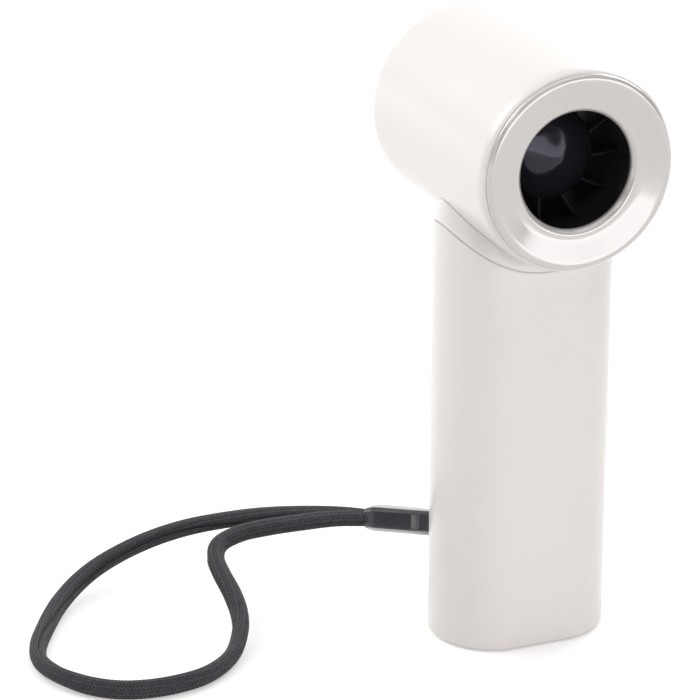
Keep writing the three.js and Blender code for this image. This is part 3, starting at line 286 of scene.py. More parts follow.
def turned(name, profile, centre, closed=True, sides=128, axis="Y"):
    """A turned piece: the profile holds (radius, distance along the axis)."""
    def spot(radius, along, turn):
        a, b = radius * math.cos(turn), radius * math.sin(turn)
        return centre + Vector((a, along, b) if axis == "Y" else (a, b, along))

    turns = even_turns(sides)
    rings = [[spot(radius, along, turn) for turn in turns] for radius, along in profile]
    return skin(name, rings, "joined" if closed else "open")


def rounded(profile, steps=5, closed=True):
    """A profile of (a, b, corner radius) with its corners turned to arcs."""
    longest = 0.49  # share of an edge that an arc may take, so that two arcs never meet
    made = []
    for i, (a, b, radius) in enumerate(profile):
        here = Vector((a, b))
        if radius <= 0 or (not closed and i in (0, len(profile) - 1)):
            made.append((a, b))
            continue
        before = Vector(profile[i - 1][:2]) - here
        after = Vector(profile[(i + 1) % len(profile)][:2]) - here
        half = before.angle(after) / 2
        reach = min(radius / math.tan(half), longest * before.length, longest * after.length)
        before.normalize()
        after.normalize()
        centre = here + (before + after).normalized() * reach / math.cos(half)
        start, end = here + before * reach - centre, here + after * reach - centre
        for j in range(steps + 1):
            spoke = start.lerp(end, j / steps).normalized() * start.length
            made.append(tuple(centre + spoke))
    return made


def through(points, steps):
    """Points on a smooth curve through the given ones, with that many steps in each span."""
    known = [Vector(p) for p in points]
    known = [2 * known[0] - known[1], *known, 2 * known[-1] - known[-2]]
    made = []
    for i in range(1, len(known) - 2):
        span = known[i - 1:i + 3]
        t = [0.0]
        for p, q in zip(span, span[1:]):
            t.append(t[-1] + max((q - p).length, 1e-9) ** 0.5)
        for j in range(steps):
            at = t[1] + (t[2] - t[1]) * j / steps
            lines = [p.lerp(q, (at - a) / (b - a)) for p, q, a, b in zip(span, span[1:], t, t[1:])]
            bends = [p.lerp(q, (at - a) / (b - a)) for p, q, a, b in zip(lines, lines[1:], t, t[2:])]
            made.append(bends[0].lerp(bends[1], j / steps))
    return [*made, known[-2]]


def line_length(points):
    """Length of a line of points."""
    return sum((b - a).length for a, b in zip(points, points[1:]))


def spaced(points, number):
    """That many points at even distances along a line of points."""
    reach = [0.0]
    for a, b in zip(points, points[1:]):
        reach.append(reach[-1] + (b - a).length)
    made, i = [], 0
    for j in range(number):
        at = reach[-1] * j / (number - 1)
        while i < len(points) - 2 and reach[i + 1] < at:
            i += 1
        share = (at - reach[i]) / max(reach[i + 1] - reach[i], 1e-9)
        made.append(points[i].lerp(points[i + 1], min(share, 1.0)))
    return made


def directions(points, i):
    """Directions across a line of points at one of them: sideways and upward."""
    along = (points[min(i + 1, len(points) - 1)] - points[max(i - 1, 0)]).normalized()
    side = along.cross(UP).normalized()
    return side, side.cross(along)


def box_loop(half_a, half_b, radius, steps):
    """Points round a rectangle with rounded corners."""
    made = []
    for turn, (a, b) in enumerate(((1, 1), (-1, 1), (-1, -1), (1, -1))):
        for i in range(steps + 1):
            angle = math.pi / 2 * (turn + i / steps)
            made.append((a * (half_a - radius) + radius * math.cos(angle),
                         b * (half_b - radius) + radius * math.sin(angle)))
    return made


def outline(s, inset, arc_steps=40, flat_steps=20):
    """Points round the grip's section, set in from its surface."""
    radius, half = s.depth / 2 - inset, (s.width - s.depth) / 2
    made = []
    for side in (1, -1):
        for i in range(arc_steps + 1):
            angle = math.pi * (i / arc_steps - 0.5)
            made.append((side * (half + radius * math.cos(angle)), side * radius * math.sin(angle)))
        made += [(side * half * (1 - 2 * i / flat_steps), side * radius) for i in range(1, flat_steps)]
    return made


def level(s, inset, height):
    """A ring of the grip's section on a level."""
    return [(x, y, height) for x, y in outline(s, inset)]


def saddle(s, inset, radius):
    """A ring of the grip's section on a cylinder about the motor axis."""
    return [(x, y, s.axis - math.sqrt(radius ** 2 - x ** 2)) for x, y in outline(s, inset)]


def plain_mesh(piece, crease=35):
    """Turns a piece with modifiers into a plain smooth mesh."""
    graph = bpy.context.evaluated_depsgraph_get()
    mesh = bpy.data.meshes.new_from_object(piece.evaluated_get(graph), depsgraph=graph)
    old = piece.data
    piece.modifiers.clear()
    piece.data = mesh
    bpy.data.meshes.remove(old)
    mesh.name = piece.name
    smooth(mesh, crease)


def cut(piece, *cutters, crease=35):
    """Cuts the cutters out of a piece."""
    for cutter in cutters:
        modifier = piece.modifiers.new("cut", "BOOLEAN")
        modifier.operation = "DIFFERENCE"
        modifier.solver = "EXACT"
        modifier.object = cutter
    plain_mesh(piece, crease)
    drop(*cutters)


def merged(name, *pieces):
    """One object of several closed bodies."""
    form = bmesh.new()
    for piece in pieces:
        form.from_mesh(piece.data)
    mesh = bpy.data.meshes.new(name)
    form.to_mesh(mesh)
    form.free()
    drop(*pieces)
    smooth(mesh, 35)
    return put(name, mesh)


# Node trees

def add(tree, kind, inputs=None, **settings):
    """Adds a node with its settings, and its inputs as values or links."""
    made = tree.nodes.new(kind)
    for name, value in settings.items():
        setattr(made, name, value)
    for key, value in (inputs or {}).items():
        if isinstance(value, bpy.types.NodeSocket):
            tree.links.new(value, made.inputs[key])
        else:
            made.inputs[key].default_value = value
    return made


def new_tree(name, inputs):
    """An empty Geometry Nodes tree with named inputs."""
    tree = bpy.data.node_groups.new(name, "GeometryNodeTree")
    tree.interface.new_socket("Geometry", in_out="INPUT", socket_type="NodeSocketGeometry")
    for label, kind in inputs.items():
        tree.interface.new_socket(label, in_out="INPUT", socket_type="NodeSocket" + kind)
    tree.interface.new_socket("Geometry", in_out="OUTPUT", socket_type="NodeSocketGeometry")
    return tree, add(tree, "NodeGroupInput").outputs


def end_tree(tree, geometry, look):
    """Ends a tree in plain geometry of one finish."""
    real = add(tree, "GeometryNodeRealizeInstances", {"Geometry": geometry})
    coated = add(tree, "GeometryNodeSetMaterial", {"Geometry": real.outputs[0], "Material": look})
    add(tree, "NodeGroupOutput", {"Geometry": coated.outputs[0]})


def copies(tree, part, points, axis, turn):
    """Puts a copy of a part on each point, turned about an axis."""
    whole = add(tree, "GeometryNodeObjectInfo", {"Object": part}, transform_space="ORIGINAL")
    spin = add(tree, "ShaderNodeCombineXYZ", {axis: turn.outputs[0]})
    return add(tree, "GeometryNodeInstanceOnPoints", {
        "Points": points.outputs[0], "Instance": whole.outputs["Geometry"], "Rotation": spin.outputs[0],
    }).outputs[0]


def circle_tree():
    """Repeats a part at even turns about an axis along Y and joins it to the base."""
    name = "repeat_about_head_axis"
    if name in bpy.data.node_groups:
        return bpy.data.node_groups[name]
    tree, given = new_tree(name, {
        "Part": "Object", "Count": "Int", "Centre": "Vector", "First Turn": "Float", "Finish": "Material",
    })
    points = add(tree, "GeometryNodePoints", {"Count": given["Count"], "Position": given["Centre"]})
    index = add(tree, "GeometryNodeInputIndex")
    step = add(tree, "ShaderNodeMath", {0: 2 * math.pi, 1: given["Count"]}, operation="DIVIDE")
    turn = add(tree, "ShaderNodeMath", {0: index.outputs[0], 1: step.outputs[0], 2: given["First Turn"]},
               operation="MULTIPLY_ADD")
    both = add(tree, "GeometryNodeJoinGeometry")
    tree.links.new(copies(tree, given["Part"], points, "Y", turn), both.inputs[0])
    tree.links.new(given["Geometry"], both.inputs[0])
    end_tree(tree, both.outputs[0], given["Finish"])
    return tree


def point_tree():
    """Puts a copy of a part at each point of the base, each turned a step further."""
    name = "part_at_each_point"
    if name in bpy.data.node_groups:
        return bpy.data.node_groups[name]
    tree, given = new_tree(name, {"Part": "Object", "Turn Step": "Float", "Finish": "Material"})
    points = add(tree, "GeometryNodeMeshToPoints", {"Mesh": given["Geometry"]})
    index = add(tree, "GeometryNodeInputIndex")
    turn = add(tree, "ShaderNodeMath", {0: index.outputs[0], 1: given["Turn Step"]}, operation="MULTIPLY")
    end_tree(tree, copies(tree, given["Part"], points, "Z", turn), given["Finish"])
    return tree


def grow(base, tree, part, look, **values):
    """Runs a tree on a base with a part, a finish and its other inputs, and leaves a plain mesh."""
    values.update(part=part, finish=finish(look))
    modifier = base.modifiers.new(tree.name, "NODES")
    modifier.node_group = tree
    for item in tree.interface.items_tree:
        key = item.name.lower().replace(" ", "_")
        if item.in_out == "INPUT" and key in values:
            modifier[item.identifier] = values[key]
    plain_mesh(base)
    drop(part)


# Finishes

def new_finish(name):
    """An empty material, its tree and its Object coordinates."""
    material = bpy.data.materials.new(name)
    material.use_nodes = True
    tree = material.node_tree
    tree.nodes.clear()
    return material, tree, add(tree, "ShaderNodeTexCoord").outputs["Object"]


def end_finish(tree, tone, pattern, gloss, relief, sockets=None, span=(0, 1)):
    """Ends a material in one shader, with a pattern that shows in its gloss and its relief.

    Gloss is the roughness at both ends of the pattern's span, and relief a strength and a depth in
    millimetres.
    """
    rough = add(tree, "ShaderNodeMapRange", {
        "Value": pattern, "From Min": span[0], "From Max": span[1], "To Min": gloss[0], "To Max": gloss[1],
    })
    strength, depth = relief
    bump = add(tree, "ShaderNodeBump", {"Height": pattern, "Strength": strength, "Distance": depth * MM})
    shader = add(tree, "ShaderNodeBsdfPrincipled", {
        "Base Color": tone, "Roughness": rough.outputs[0], "Normal": bump.outputs[0], **(sockets or {}),
    })
    add(tree, "ShaderNodeOutputMaterial", {"Surface": shader.outputs[0]})


def moulded(name, base, rough, grain, depth, tint=0.06, cloud=18, sockets=None):
    """Injection-moulded plastic: faint flow clouds in its colour, and the fine grain of its tool.

    Grain, its depth and the clouds are in millimetres.
    """
    material, tree, place = new_finish(name)
    clouds = add(tree, "ShaderNodeTexNoise", {"Vector": place, "Scale": 1 / (cloud * MM), "Detail": 3.0})
    grains = add(tree, "ShaderNodeTexNoise", {"Vector": place, "Scale": 1 / (grain * MM), "Detail": 2.0})
    tone = add(tree, "ShaderNodeMix", {0: clouds.outputs["Fac"], 6: shade(base, 1 - tint), 7: shade(base)},
               data_type="RGBA")
    end_finish(tree, tone.outputs[2], grains.outputs["Fac"], (rough * 0.88, rough * 1.12), (1.0, depth),
               sockets, (0.3, 0.7))
    return material


def metal(name, base, rough, streak, stretch=(1, 1, 12)):
    """Drawn or turned metal: fine streaks in its gloss, and a slightly uneven tone.

    Streaks are in millimetres, and are stretched along the three directions.
    """
    material, tree, place = new_finish(name)
    drawn = add(tree, "ShaderNodeMapping", {"Vector": place, "Scale": [1 / k for k in stretch]}).outputs[0]
    streaks = add(tree, "ShaderNodeTexNoise", {"Vector": drawn, "Scale": 1 / (streak * MM), "Detail": 3.0})
    tone = add(tree, "ShaderNodeMix", {0: streaks.outputs["Fac"], 6: shade(base, 0.82), 7: shade(base)},
               data_type="RGBA")
    end_finish(tree, tone.outputs[2], streaks.outputs["Fac"], (rough * 0.75, rough * 1.25), (0.4, 0.01),
               {"Metallic": 1.0})
    return material


def banded(name, base, other, rough, width, direction, metallic, depth):
    """Evenly banded surface, such as wound wire or board tracks. Bands and depth are in millimetres."""
    period = 0.314  # of the wave texture at a scale of 1
    material, tree, place = new_finish(name)
    bands = add(tree, "ShaderNodeTexWave", {
        "Vector": place, "Scale": period / (width * MM), "Distortion": 0.3,
    }, bands_direction=direction)
    tone = add(tree, "ShaderNodeMix", {0: bands.outputs["Fac"], 6: shade(other), 7: shade(base)},
               data_type="RGBA")
    end_finish(tree, tone.outputs[2], bands.outputs["Fac"], (rough * 1.2, rough * 0.85), (0.7, depth),
               {"Metallic": metallic})
    return material


def braided(name, base, fibre):
    """Braided polyester: one lay of yarns painted lighter than the other as if lit, a random tone per
    crossing, painted shade in the hollows and the fold, and a dull fuzz of fibres.
    """
    material, tree, place = new_finish(name)
    tone = add(tree, "ShaderNodeAttribute", attribute_name="yarn_tone").outputs["Fac"]
    height = add(tree, "ShaderNodeAttribute", attribute_name="yarn_height").outputs["Fac"]
    fibres = add(tree, "ShaderNodeTexNoise", {"Vector": place, "Scale": 1 / (fibre * MM), "Detail": 2.0})
    # Painted light: yarns of one lay are lighter than the other, as if lit; the rest of the tone is random
    yarn = add(tree, "ShaderNodeMix", {0: tone, 6: shade(base), 7: shade(base, 3.8)}, data_type="RGBA")
    # Painted shade: where the braid sits low, between the yarns and in its fold, the colour turns almost
    # black
    lit = add(tree, "ShaderNodeMapRange", {"Value": height, "From Min": 0.3, "From Max": 0.95})
    colours = add(tree, "ShaderNodeMix", {0: lit.outputs[0], 6: shade(base, 0.08), 7: yarn.outputs[2]},
                  data_type="RGBA")
    end_finish(tree, colours.outputs[2], fibres.outputs["Fac"], (0.62, 0.86), (0.6, 0.05),
               {"Sheen Weight": 0.08, "Sheen Roughness": 0.5})
    return material


def finish(name):
    """A finish by its name, made when it is first asked for."""
    if name in bpy.data.materials:
        return bpy.data.materials[name]
    chosen = bpy.context.scene.fan_colours
    looks = {
        # ABS from a satin tool: almost even warm white, soft highlights, its grain drawn at 0.4 mm to show
        "satin_abs_shell": (moulded, dict(
            base=chosen.shell, rough=0.36, grain=0.4, depth=0.004, tint=0.04,
            sockets={"Coat Weight": 0.45, "Coat Roughness": 0.18},
        )),
        # ABS under pearl lacquer, whose mica mirrors more than plain plastic: bright crescents in the dish
        "pearl_lacquered_bezel": (moulded, dict(
            base=chosen.bezel, rough=0.3, grain=0.4, depth=0.002, tint=0.03,
            sockets={"Coat Weight": 1.0, "Coat IOR": 2.4, "Coat Roughness": 0.16},
        )),
        # Black ABS of the duct: dark all round, with grey bars where it catches light
        "black_abs_duct": (moulded, dict(
            base=chosen.duct, rough=0.42, grain=0.4, depth=0.006, tint=0.3,
            sockets={"Specular IOR Level": 0.25},
        )),
        # Polished black polycarbonate: near black, with a cool reflection of a lamp on its upper side
        "polished_polycarbonate_nose": (moulded, dict(
            base=chosen.nose, rough=0.13, grain=0.8, depth=0.001, tint=0.2,
            sockets={"Specular IOR Level": 0.4, "Specular Tint": shade(linear("#EAEDFF"))},
        )),
        # Polypropylene of the impeller and grille: off-white, duller than the shell
        "matt_polypropylene": (moulded, dict(
            base=chosen.inner, rough=0.5, grain=0.35, depth=0.01, tint=0.08,
        )),
        # Acetal of the strap's clamp: charcoal, with pale edges where it mirrors the floor and the lamps
        "satin_acetal_ferrule": (moulded, dict(
            base=chosen.ferrule, rough=0.24, grain=0.3, depth=0.004, tint=0.25, cloud=3,
            sockets={"Coat Weight": 0.3},
        )),
        # Clear acrylic of the light pipe: pale and glossy
        "acrylic_lens": (moulded, dict(
            base=linear("#F1F0EA"), rough=0.12, grain=0.5, depth=0.002, tint=0.03,
            sockets={"Coat Weight": 0.3},
        )),
        # Braided polyester of the strap: charcoal yarns, with painted shade in the dark lines where they
        # part
        "braided_polyester": (braided, dict(base=chosen.strap, fibre=0.12)),
        # Twisted polyester of the tether: charcoal plies, unevenly dark
        "twisted_polyester": (moulded, dict(
            base=linear("#3A373C"), rough=0.75, grain=0.12, depth=0.03, tint=0.45, cloud=0.4,
        )),
        # Zinc-plated steel screws, pin, shaft and bearings: bright with fine turning marks
        "zinc_plated_steel": (metal, dict(base=linear("#C3C5C8"), rough=0.3, streak=0.25)),
        # Silicon steel and ferrite: dark grey, dull
        "dark_sintered_metal": (metal, dict(
            base=linear("#55565B"), rough=0.5, streak=0.4, stretch=(1, 1, 1),
        )),
        # Nickel strip and shielding: warm bright metal
        "nickel_strip": (metal, dict(base=linear("#CFCABF"), rough=0.28, streak=0.3, stretch=(12, 1, 1))),
        # Enamelled copper wire: bright and dark turns 0.3 mm apart
        "wound_copper": (banded, dict(
            base=linear("#C77A44"), other=linear("#7E4724"), rough=0.34, width=0.3, direction="DIAGONAL",
            metallic=1.0, depth=0.05,
        )),
        # Solder-masked board: green with slightly lighter tracks 0.8 mm apart
        "solder_masked_board": (banded, dict(
            base=linear("#1F6A42"), other=linear("#1A5737"), rough=0.38, width=0.8, direction="X",
            metallic=0.0, depth=0.02,
        )),
        # Epoxy chip packages: charcoal, fine sandy grain
        "epoxy_package": (moulded, dict(
            base=linear("#1B1C1E"), rough=0.55, grain=0.2, depth=0.02, tint=0.3, cloud=2,
        )),
        # Shrink wrap on the cell: blue film with soft gloss
        "shrink_wrap_film": (moulded, dict(
            base=linear("#3D6CA5"), rough=0.3, grain=3, depth=0.02, tint=0.12, cloud=10,
        )),
        # Open-cell foam disc: charcoal, deep pores of about half a millimetre
        "open_cell_foam": (moulded, dict(
            base=linear("#2F2F32"), rough=0.95, grain=0.5, depth=0.25, tint=0.5, cloud=0.6,
        )),
        # Silicone-covered leads: soft gloss on red or black
        "red_silicone_lead": (moulded, dict(
            base=linear("#B52A22"), rough=0.48, grain=0.3, depth=0.006, tint=0.15, cloud=3,
        )),
        "black_silicone_lead": (moulded, dict(
            base=linear("#1C1C1F"), rough=0.48, grain=0.3, depth=0.006, tint=0.25, cloud=3,
        )),
    }
    maker, values = looks[name]
    return maker(name, **values)


def settle(piece, look, slot, *nodes, body="body"):
    """Gives a piece its finish and body and hides the CAD nodes that it stands for; the slot is not used."""
    piece.data.materials.clear()
    piece.data.materials.append(finish(look))
    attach(piece, body)
    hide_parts(*nodes)


# Stage

def new_camera():
    """A camera on the view that shows the fan's front and left side."""
    lens = bpy.data.cameras.new("camera")
    lens.sensor_width = CAMERA_SENSOR
    lens.lens = CAMERA_LENS
    lens.clip_start = 0.05
    turn = Matrix.Identity(3)
    for degrees, axis in ((CAMERA_TURN, "Z"), (90 - CAMERA_TILT, "X"), (CAMERA_ROLL, "Z")):
        turn = turn @ Matrix.Rotation(math.radians(degrees), 3, axis)
    camera = put("camera", lens)
    camera.matrix_world = Matrix.Translation(turn @ CAMERA_PLACE * MM) @ turn.to_4x4()
    return camera


def new_lamp(name, spot, aim, width, height, power):
    """A softbox that the camera doesn't see."""
    lamp = bpy.data.lights.new(name, "AREA")
    lamp.shape = "RECTANGLE"
    lamp.size = width
    lamp.size_y = height
    lamp.energy = power
    holder = put(name, lamp)
    holder.location = spot
    holder.rotation_euler = (UP * aim - Vector(spot)).to_track_quat("-Z", "Y").to_euler()
    holder.visible_camera = False


def new_world():
    """Faint white light from all round."""
    world = bpy.data.worlds.new("studio")
    world.use_nodes = True
    tree = world.node_tree
    tree.nodes.clear()
    soft = add(tree, "ShaderNodeBackground", {"Color": (1, 1, 1, 1), "Strength": AMBIENT})
    add(tree, "ShaderNodeOutputWorld", {"Surface": soft.outputs[0]})
    return world


def new_floor(tint):
    """Painted floor: even pale paint, which the camera and mirrors see fade to white with distance."""
    reach, cloud = 20000, 500
    square = [(-reach, -reach, 0), (reach, -reach, 0), (reach, reach, 0), (-reach, reach, 0)]
    floor = put("floor", mesh_of("floor", square, [(0, 1, 2, 3)]))
    material, tree, place = new_finish("painted_floor")
    clouds = add(tree, "ShaderNodeTexNoise", {"Vector": place, "Scale": 1 / (cloud * MM)})
    tone = add(tree, "ShaderNodeMix", {0: clouds.outputs["Fac"], 6: shade(tint, 0.99), 7: shade(tint)},
               data_type="RGBA")
    path = add(tree, "ShaderNodeLightPath").outputs
    mirror = add(tree, "ShaderNodeMath", {0: path["Is Glossy Ray"], 1: path["Is Transmission Ray"]},
                 operation="MAXIMUM")
    seen = add(tree, "ShaderNodeMath", {0: path["Is Camera Ray"], 1: mirror.outputs[0]}, operation="MAXIMUM")
    away = add(tree, "ShaderNodeVectorMath", {0: place}, operation="LENGTH")
    glow = add(tree, "ShaderNodeMapRange", {
        "Value": away.outputs["Value"], "From Min": 0.5, "From Max": 1.6, "To Min": 0.4, "To Max": 1.0,
    })
    lift = add(tree, "ShaderNodeMath", {0: seen.outputs[0], 1: glow.outputs[0]}, operation="MULTIPLY")
    shader = add(tree, "ShaderNodeBsdfPrincipled", {
        "Base Color": tone.outputs[2], "Roughness": 0.9, "Emission Color": (1, 1, 1, 1),
        "Emission Strength": lift.outputs[0],
    })
    add(tree, "ShaderNodeOutputMaterial", {"Surface": shader.outputs[0]})
    floor.data.materials.append(material)
    return floor


class FAN_OT_stage(bpy.types.Operator):
    """Camera, lamps, pale floor and background"""
    bl_idname = "fan.stage"
    bl_label = "Stage"

    def execute(self, context):
        scene = context.scene
        scene.view_settings.view_transform = "Standard"
        scene.camera = new_camera()
        scene.world = new_world()
        for lamp in LAMPS:
            new_lamp(*lamp)
        new_floor(scene.fan_colours.floor)
        return {"FINISHED"}


# Strap

def braid_height(p, q):
    """Height of the braid and tone of its upper yarn, from 0 to 1, the tone partly painted light. p and q
    count the yarns each way.
    """
    sway, belly = 0.34, 0.66  # shares of the height from going over and under, and from round yarn
    wave = max(-1.0, min(1.0, 1.7 * math.cos(math.pi / 2 * (p + q - 1))))
    best = (-1.0, 0)
    for phase, lift, hand in ((p, wave, 0), (q, -wave, 1)):
        off = phase - round(phase)
        height = sway * lift + belly * math.sqrt(max(0.0, 1 - (2 * off) ** 2))
        if height > best[0]:
            # A fixed number from 0 to 1 for each crossing, which looks random
            chance = math.sin(round(p) * 12.9898 + round(q) * 78.233) * 43758.5453 % 1.0
            # Painted light: one lay of yarns is lighter than the other, with a random tone on top
            best = (height, 0.5 * hand + 0.5 * chance)
    return max(0.0, best[0]), best[1]


class FAN_OT_strap(bpy.types.Operator):
    """Braided wrist loop"""
    bl_idname = "fan.strap"
    bl_label = "Wrist strap"

    def execute(self, context):
        strap = context.scene.fan_strap
        half_wide, half_thin = strap.width / MM / 2, strap.thickness / MM / 2
        # Depths of the yarns, of a fold along one side and of hollows along two, and widths in radians of
        # the fold, of the painted shade in the fold and of the hollows
        relief, fold_depth, hollow_depth = 0.3, 0.55, 0.1
        fold_width, shadow_width, hollow_width = 0.28, 0.17, 0.5
        # Share by which the ferrule thins an end, distance after which it is free, and gap over the table
        squeeze, free_after, clear = 0.14, 9, 0.04
        fine = 2  # points across half a yarn
        sides = 2 * strap.yarns * fine
        line = through(STRAP_ROUTE, 24)
        total = line_length(line)
        centres = spaced(line, round(total * sides * MM / strap.lay) + 1)
        rings, painted_shade_heights, tones_and_painted_light = [], [], []
        for i, centre in enumerate(centres):
            side, above = directions(centres, i)
            share = i / (len(centres) - 1)
            # The flat braid rolls up on edge round the loop, and its fold wanders from side to side
            roll = math.radians(-20 + 95 * math.sin(math.pi * share) ** 2 + 18 * math.sin(13 * share))
            crease = 2.2 + 1.1 * math.sin(9 * share + 0.6) + 0.5 * math.sin(23 * share)
            wide = side * math.cos(roll) + above * math.sin(roll)
            thin = above * math.cos(roll) - side * math.sin(roll)
            free = min(1.0, min(share, 1 - share) * total / free_after)
            swell = 1 - squeeze * (1 - free)
            ring = []
            for j, turn in enumerate(even_turns(sides)):
                phase, spread = i / (2 * fine), j / (2 * fine)
                height, tone = braid_height(spread - phase, spread + phase)
                off = (turn - crease + math.pi) % (2 * math.pi) - math.pi
                across = (turn - crease) % math.pi
                fold = free * math.exp(-(off / fold_width) ** 2)
                # Painted shade in the fold, which darkens the braid's colour there
                shadow = free * math.exp(-(off / shadow_width) ** 2)
                hollow = math.exp(-(min(across, math.pi - across) / hollow_width) ** 2)
                rise = relief * (height - 0.9) - fold_depth * fold - hollow_depth * hollow
                out = Vector((math.cos(turn) / half_wide, math.sin(turn) / half_thin)).normalized()
                x = half_wide * swell * math.cos(turn) + out.x * rise
                y = half_thin * swell * math.sin(turn) + out.y * rise
                spot = centre + wide * x + thin * y
                spot.z = max(spot.z, clear)
                ring.append(spot)
                # Painted shade: the colour darkens where the yarns sit low and in the fold
                painted_shade_heights.append(height * (1 - 0.6 * shadow))
                tones_and_painted_light.append(tone)
            rings.append(ring)
        braid = skin("strap_braid", rings, "capped", 80)
        for name, values in (("yarn_height", painted_shade_heights), ("yarn_tone", tones_and_painted_light)):
            braid.data.attributes.new(name, "FLOAT", "POINT").data.foreach_set("value", values)
        settle(braid, "braided_polyester", "braid", "strap_cord")
        return {"FINISHED"}


def ferrule_ring(distance, narrow, low):
    """A ring of the ferrule's section at a distance from its mouth, drawn in sideways and in height."""
    wide, high, ridge, corner = 4.6 - narrow, 3.0 - low, 0.15, 0.35
    section = [
        (wide, high - 1), (wide - 1, high), (0.9 - wide, high), (-wide, high - 0.8), (-wide, 1.2 - high),
        (0.6 - narrow, -high - ridge), (wide - 1, -high - ridge), (wide, 0.8 - high),
    ]
    loop = rounded([(x, y, corner) for x, y in section], 3)
    start = FERRULE_MOUTH + FERRULE_INWARD * distance
    return [start + FERRULE_ASIDE * x + FERRULE_UP * y for x, y in loop]


def ferrule_bore(spot, radius, reach, sides):
    """A round cutter along the ferrule, between two distances from a spot."""
    around = [(FERRULE_ASIDE * math.cos(a) + FERRULE_UP * math.sin(a)) * radius for a in even_turns(sides)]
    return skin("cutter", [[spot + FERRULE_INWARD * r + p for p in around] for r in reach], "capped")


class FAN_OT_tether(bpy.types.Operator):
    """Ferrule, thin tether and the pin that holds it"""
    bl_idname = "fan.tether"
    bl_label = "Ferrule and tether"

    def execute(self, context):
        s = sizes(context)
        strap = context.scene.fan_strap
        long, tail = FERRULE_LENGTH, FERRULE_MOUTH + FERRULE_INWARD * FERRULE_LENGTH
        apart, held = FERRULE_ASIDE * 0.75, FERRULE_INWARD * 3.5
        strap_bore, thread_bore = 2.16, 0.72
        # Distance from the mouth, and how far the sides and the height draw in there
        stations = [
            (0, 0.85, 0.75), (0.12, 0.62, 0.58), (0.4, 0.5, 0.48), (1.7, 0.1, 0.1), (2.2, 0.02, 0.02),
            (3, 0, 0), (long - 5.2, 0, 0), (long - 4.9, 0.05, 0), (long - 3.4, 0.58, 0.02),
            (long - 3.1, 0.64, 0.03), (long - 1, 0.7, 0.05), (long - 0.3, 0.95, 0.25), (long, 1.4, 0.65),
        ]
        clamp = skin("strap_clamp", [ferrule_ring(*row) for row in stations], "capped", 50)
        cutters = []
        for strap_end, thread_end in zip(STRAP_ENDS[::-1], (tail - apart, tail + apart)):
            cutters.append(ferrule_bore(strap_end, strap_bore, (-1, 6.6), 32))
            cutters.append(ferrule_bore(thread_end, thread_bore, (1, -4), 20))
        cut(clamp, *cutters, crease=50)
        settle(clamp, "satin_acetal_ferrule", "ferrule", "strap_ferrule")

        height, pin_y = middle(ANCHOR).z, middle(PIN).y
        wrap = 1.7
        turns = [math.radians(a) for a in (35, 0, -30, -60, -90, -120, -150, -180, -210)]
        route = [
            tail + apart - held, tail + apart, (-5, s.back + 2.7, height), (-0.4, s.back + 0.9, height),
            *[(wrap * math.cos(a), pin_y + wrap * math.sin(a), height) for a in turns],
            (-3.4, s.back + 0.9, height), (-6.5, s.back + 1.9, height), tail - apart, tail - apart - held,
        ]
        rows, sides = 260, 24
        plies, lay, groove = 3, 5.4, 0.16
        centres = spaced(through(route, 16), rows)
        total = line_length(centres)
        radius = strap.thread / MM / 2
        rings = []
        for i, centre in enumerate(centres):
            side, above = directions(centres, i)
            twist = 2 * math.pi * total / lay * i / (rows - 1)
            ring = []
            for turn in even_turns(sides):
                reach = radius * (1 - groove + groove * abs(math.cos(plies / 2 * (turn - twist))))
                ring.append(centre + (side * math.cos(turn) + above * math.sin(turn)) * reach)
            rings.append(ring)
        thread = skin("strap_thread", rings, "capped", 80)
        settle(thread, "twisted_polyester", "braid", "strap_tether")

        low, high, radius, edge = PIN[0].z, PIN[1].z, PIN[1].x, 0.15
        profile = [(0, low), (radius - edge, low), (radius, low + edge), (radius, high - edge),
                   (radius - edge, high), (0, high)]
        pin = turned("anchor_pin", profile, Vector((0, pin_y, 0)), False, 40, "Z")
        settle(pin, "zinc_plated_steel", "steel", "strap_pin")
        return {"FINISHED"}


# Head

class FAN_OT_head_shell(bpy.types.Operator):
    """White tube of the head"""
    bl_idname = "fan.head_shell"
    bl_label = "Head shell"

    def execute(self, context):
        s = sizes(context)
        front, back = SHELL[0].y, SHELL[1].y
        edge, chamfer = 4, 0.3
        bend = [(-0.95, 0.02), (-0.5, 0.4), (-0.15, 1.3), (0, 2.6), (0, edge)]
        nose = through([(s.radius + r, front + along) for r, along in bend], 6)
        rim = rounded([
            (s.radius, back - edge, 0), (s.radius, back, 0.9), (s.bore, back, 0.3), (s.bore, back - edge, 0),
        ], 6, False)
        profile = [*nose, *rim, (s.bore, front + chamfer), (s.bore + chamfer, front)]
        tube = turned("head_tube", profile, s.centre, sides=192)
        settle(tube, "satin_abs_shell", "shell_plastic", "head_shell")
        return {"FINISHED"}


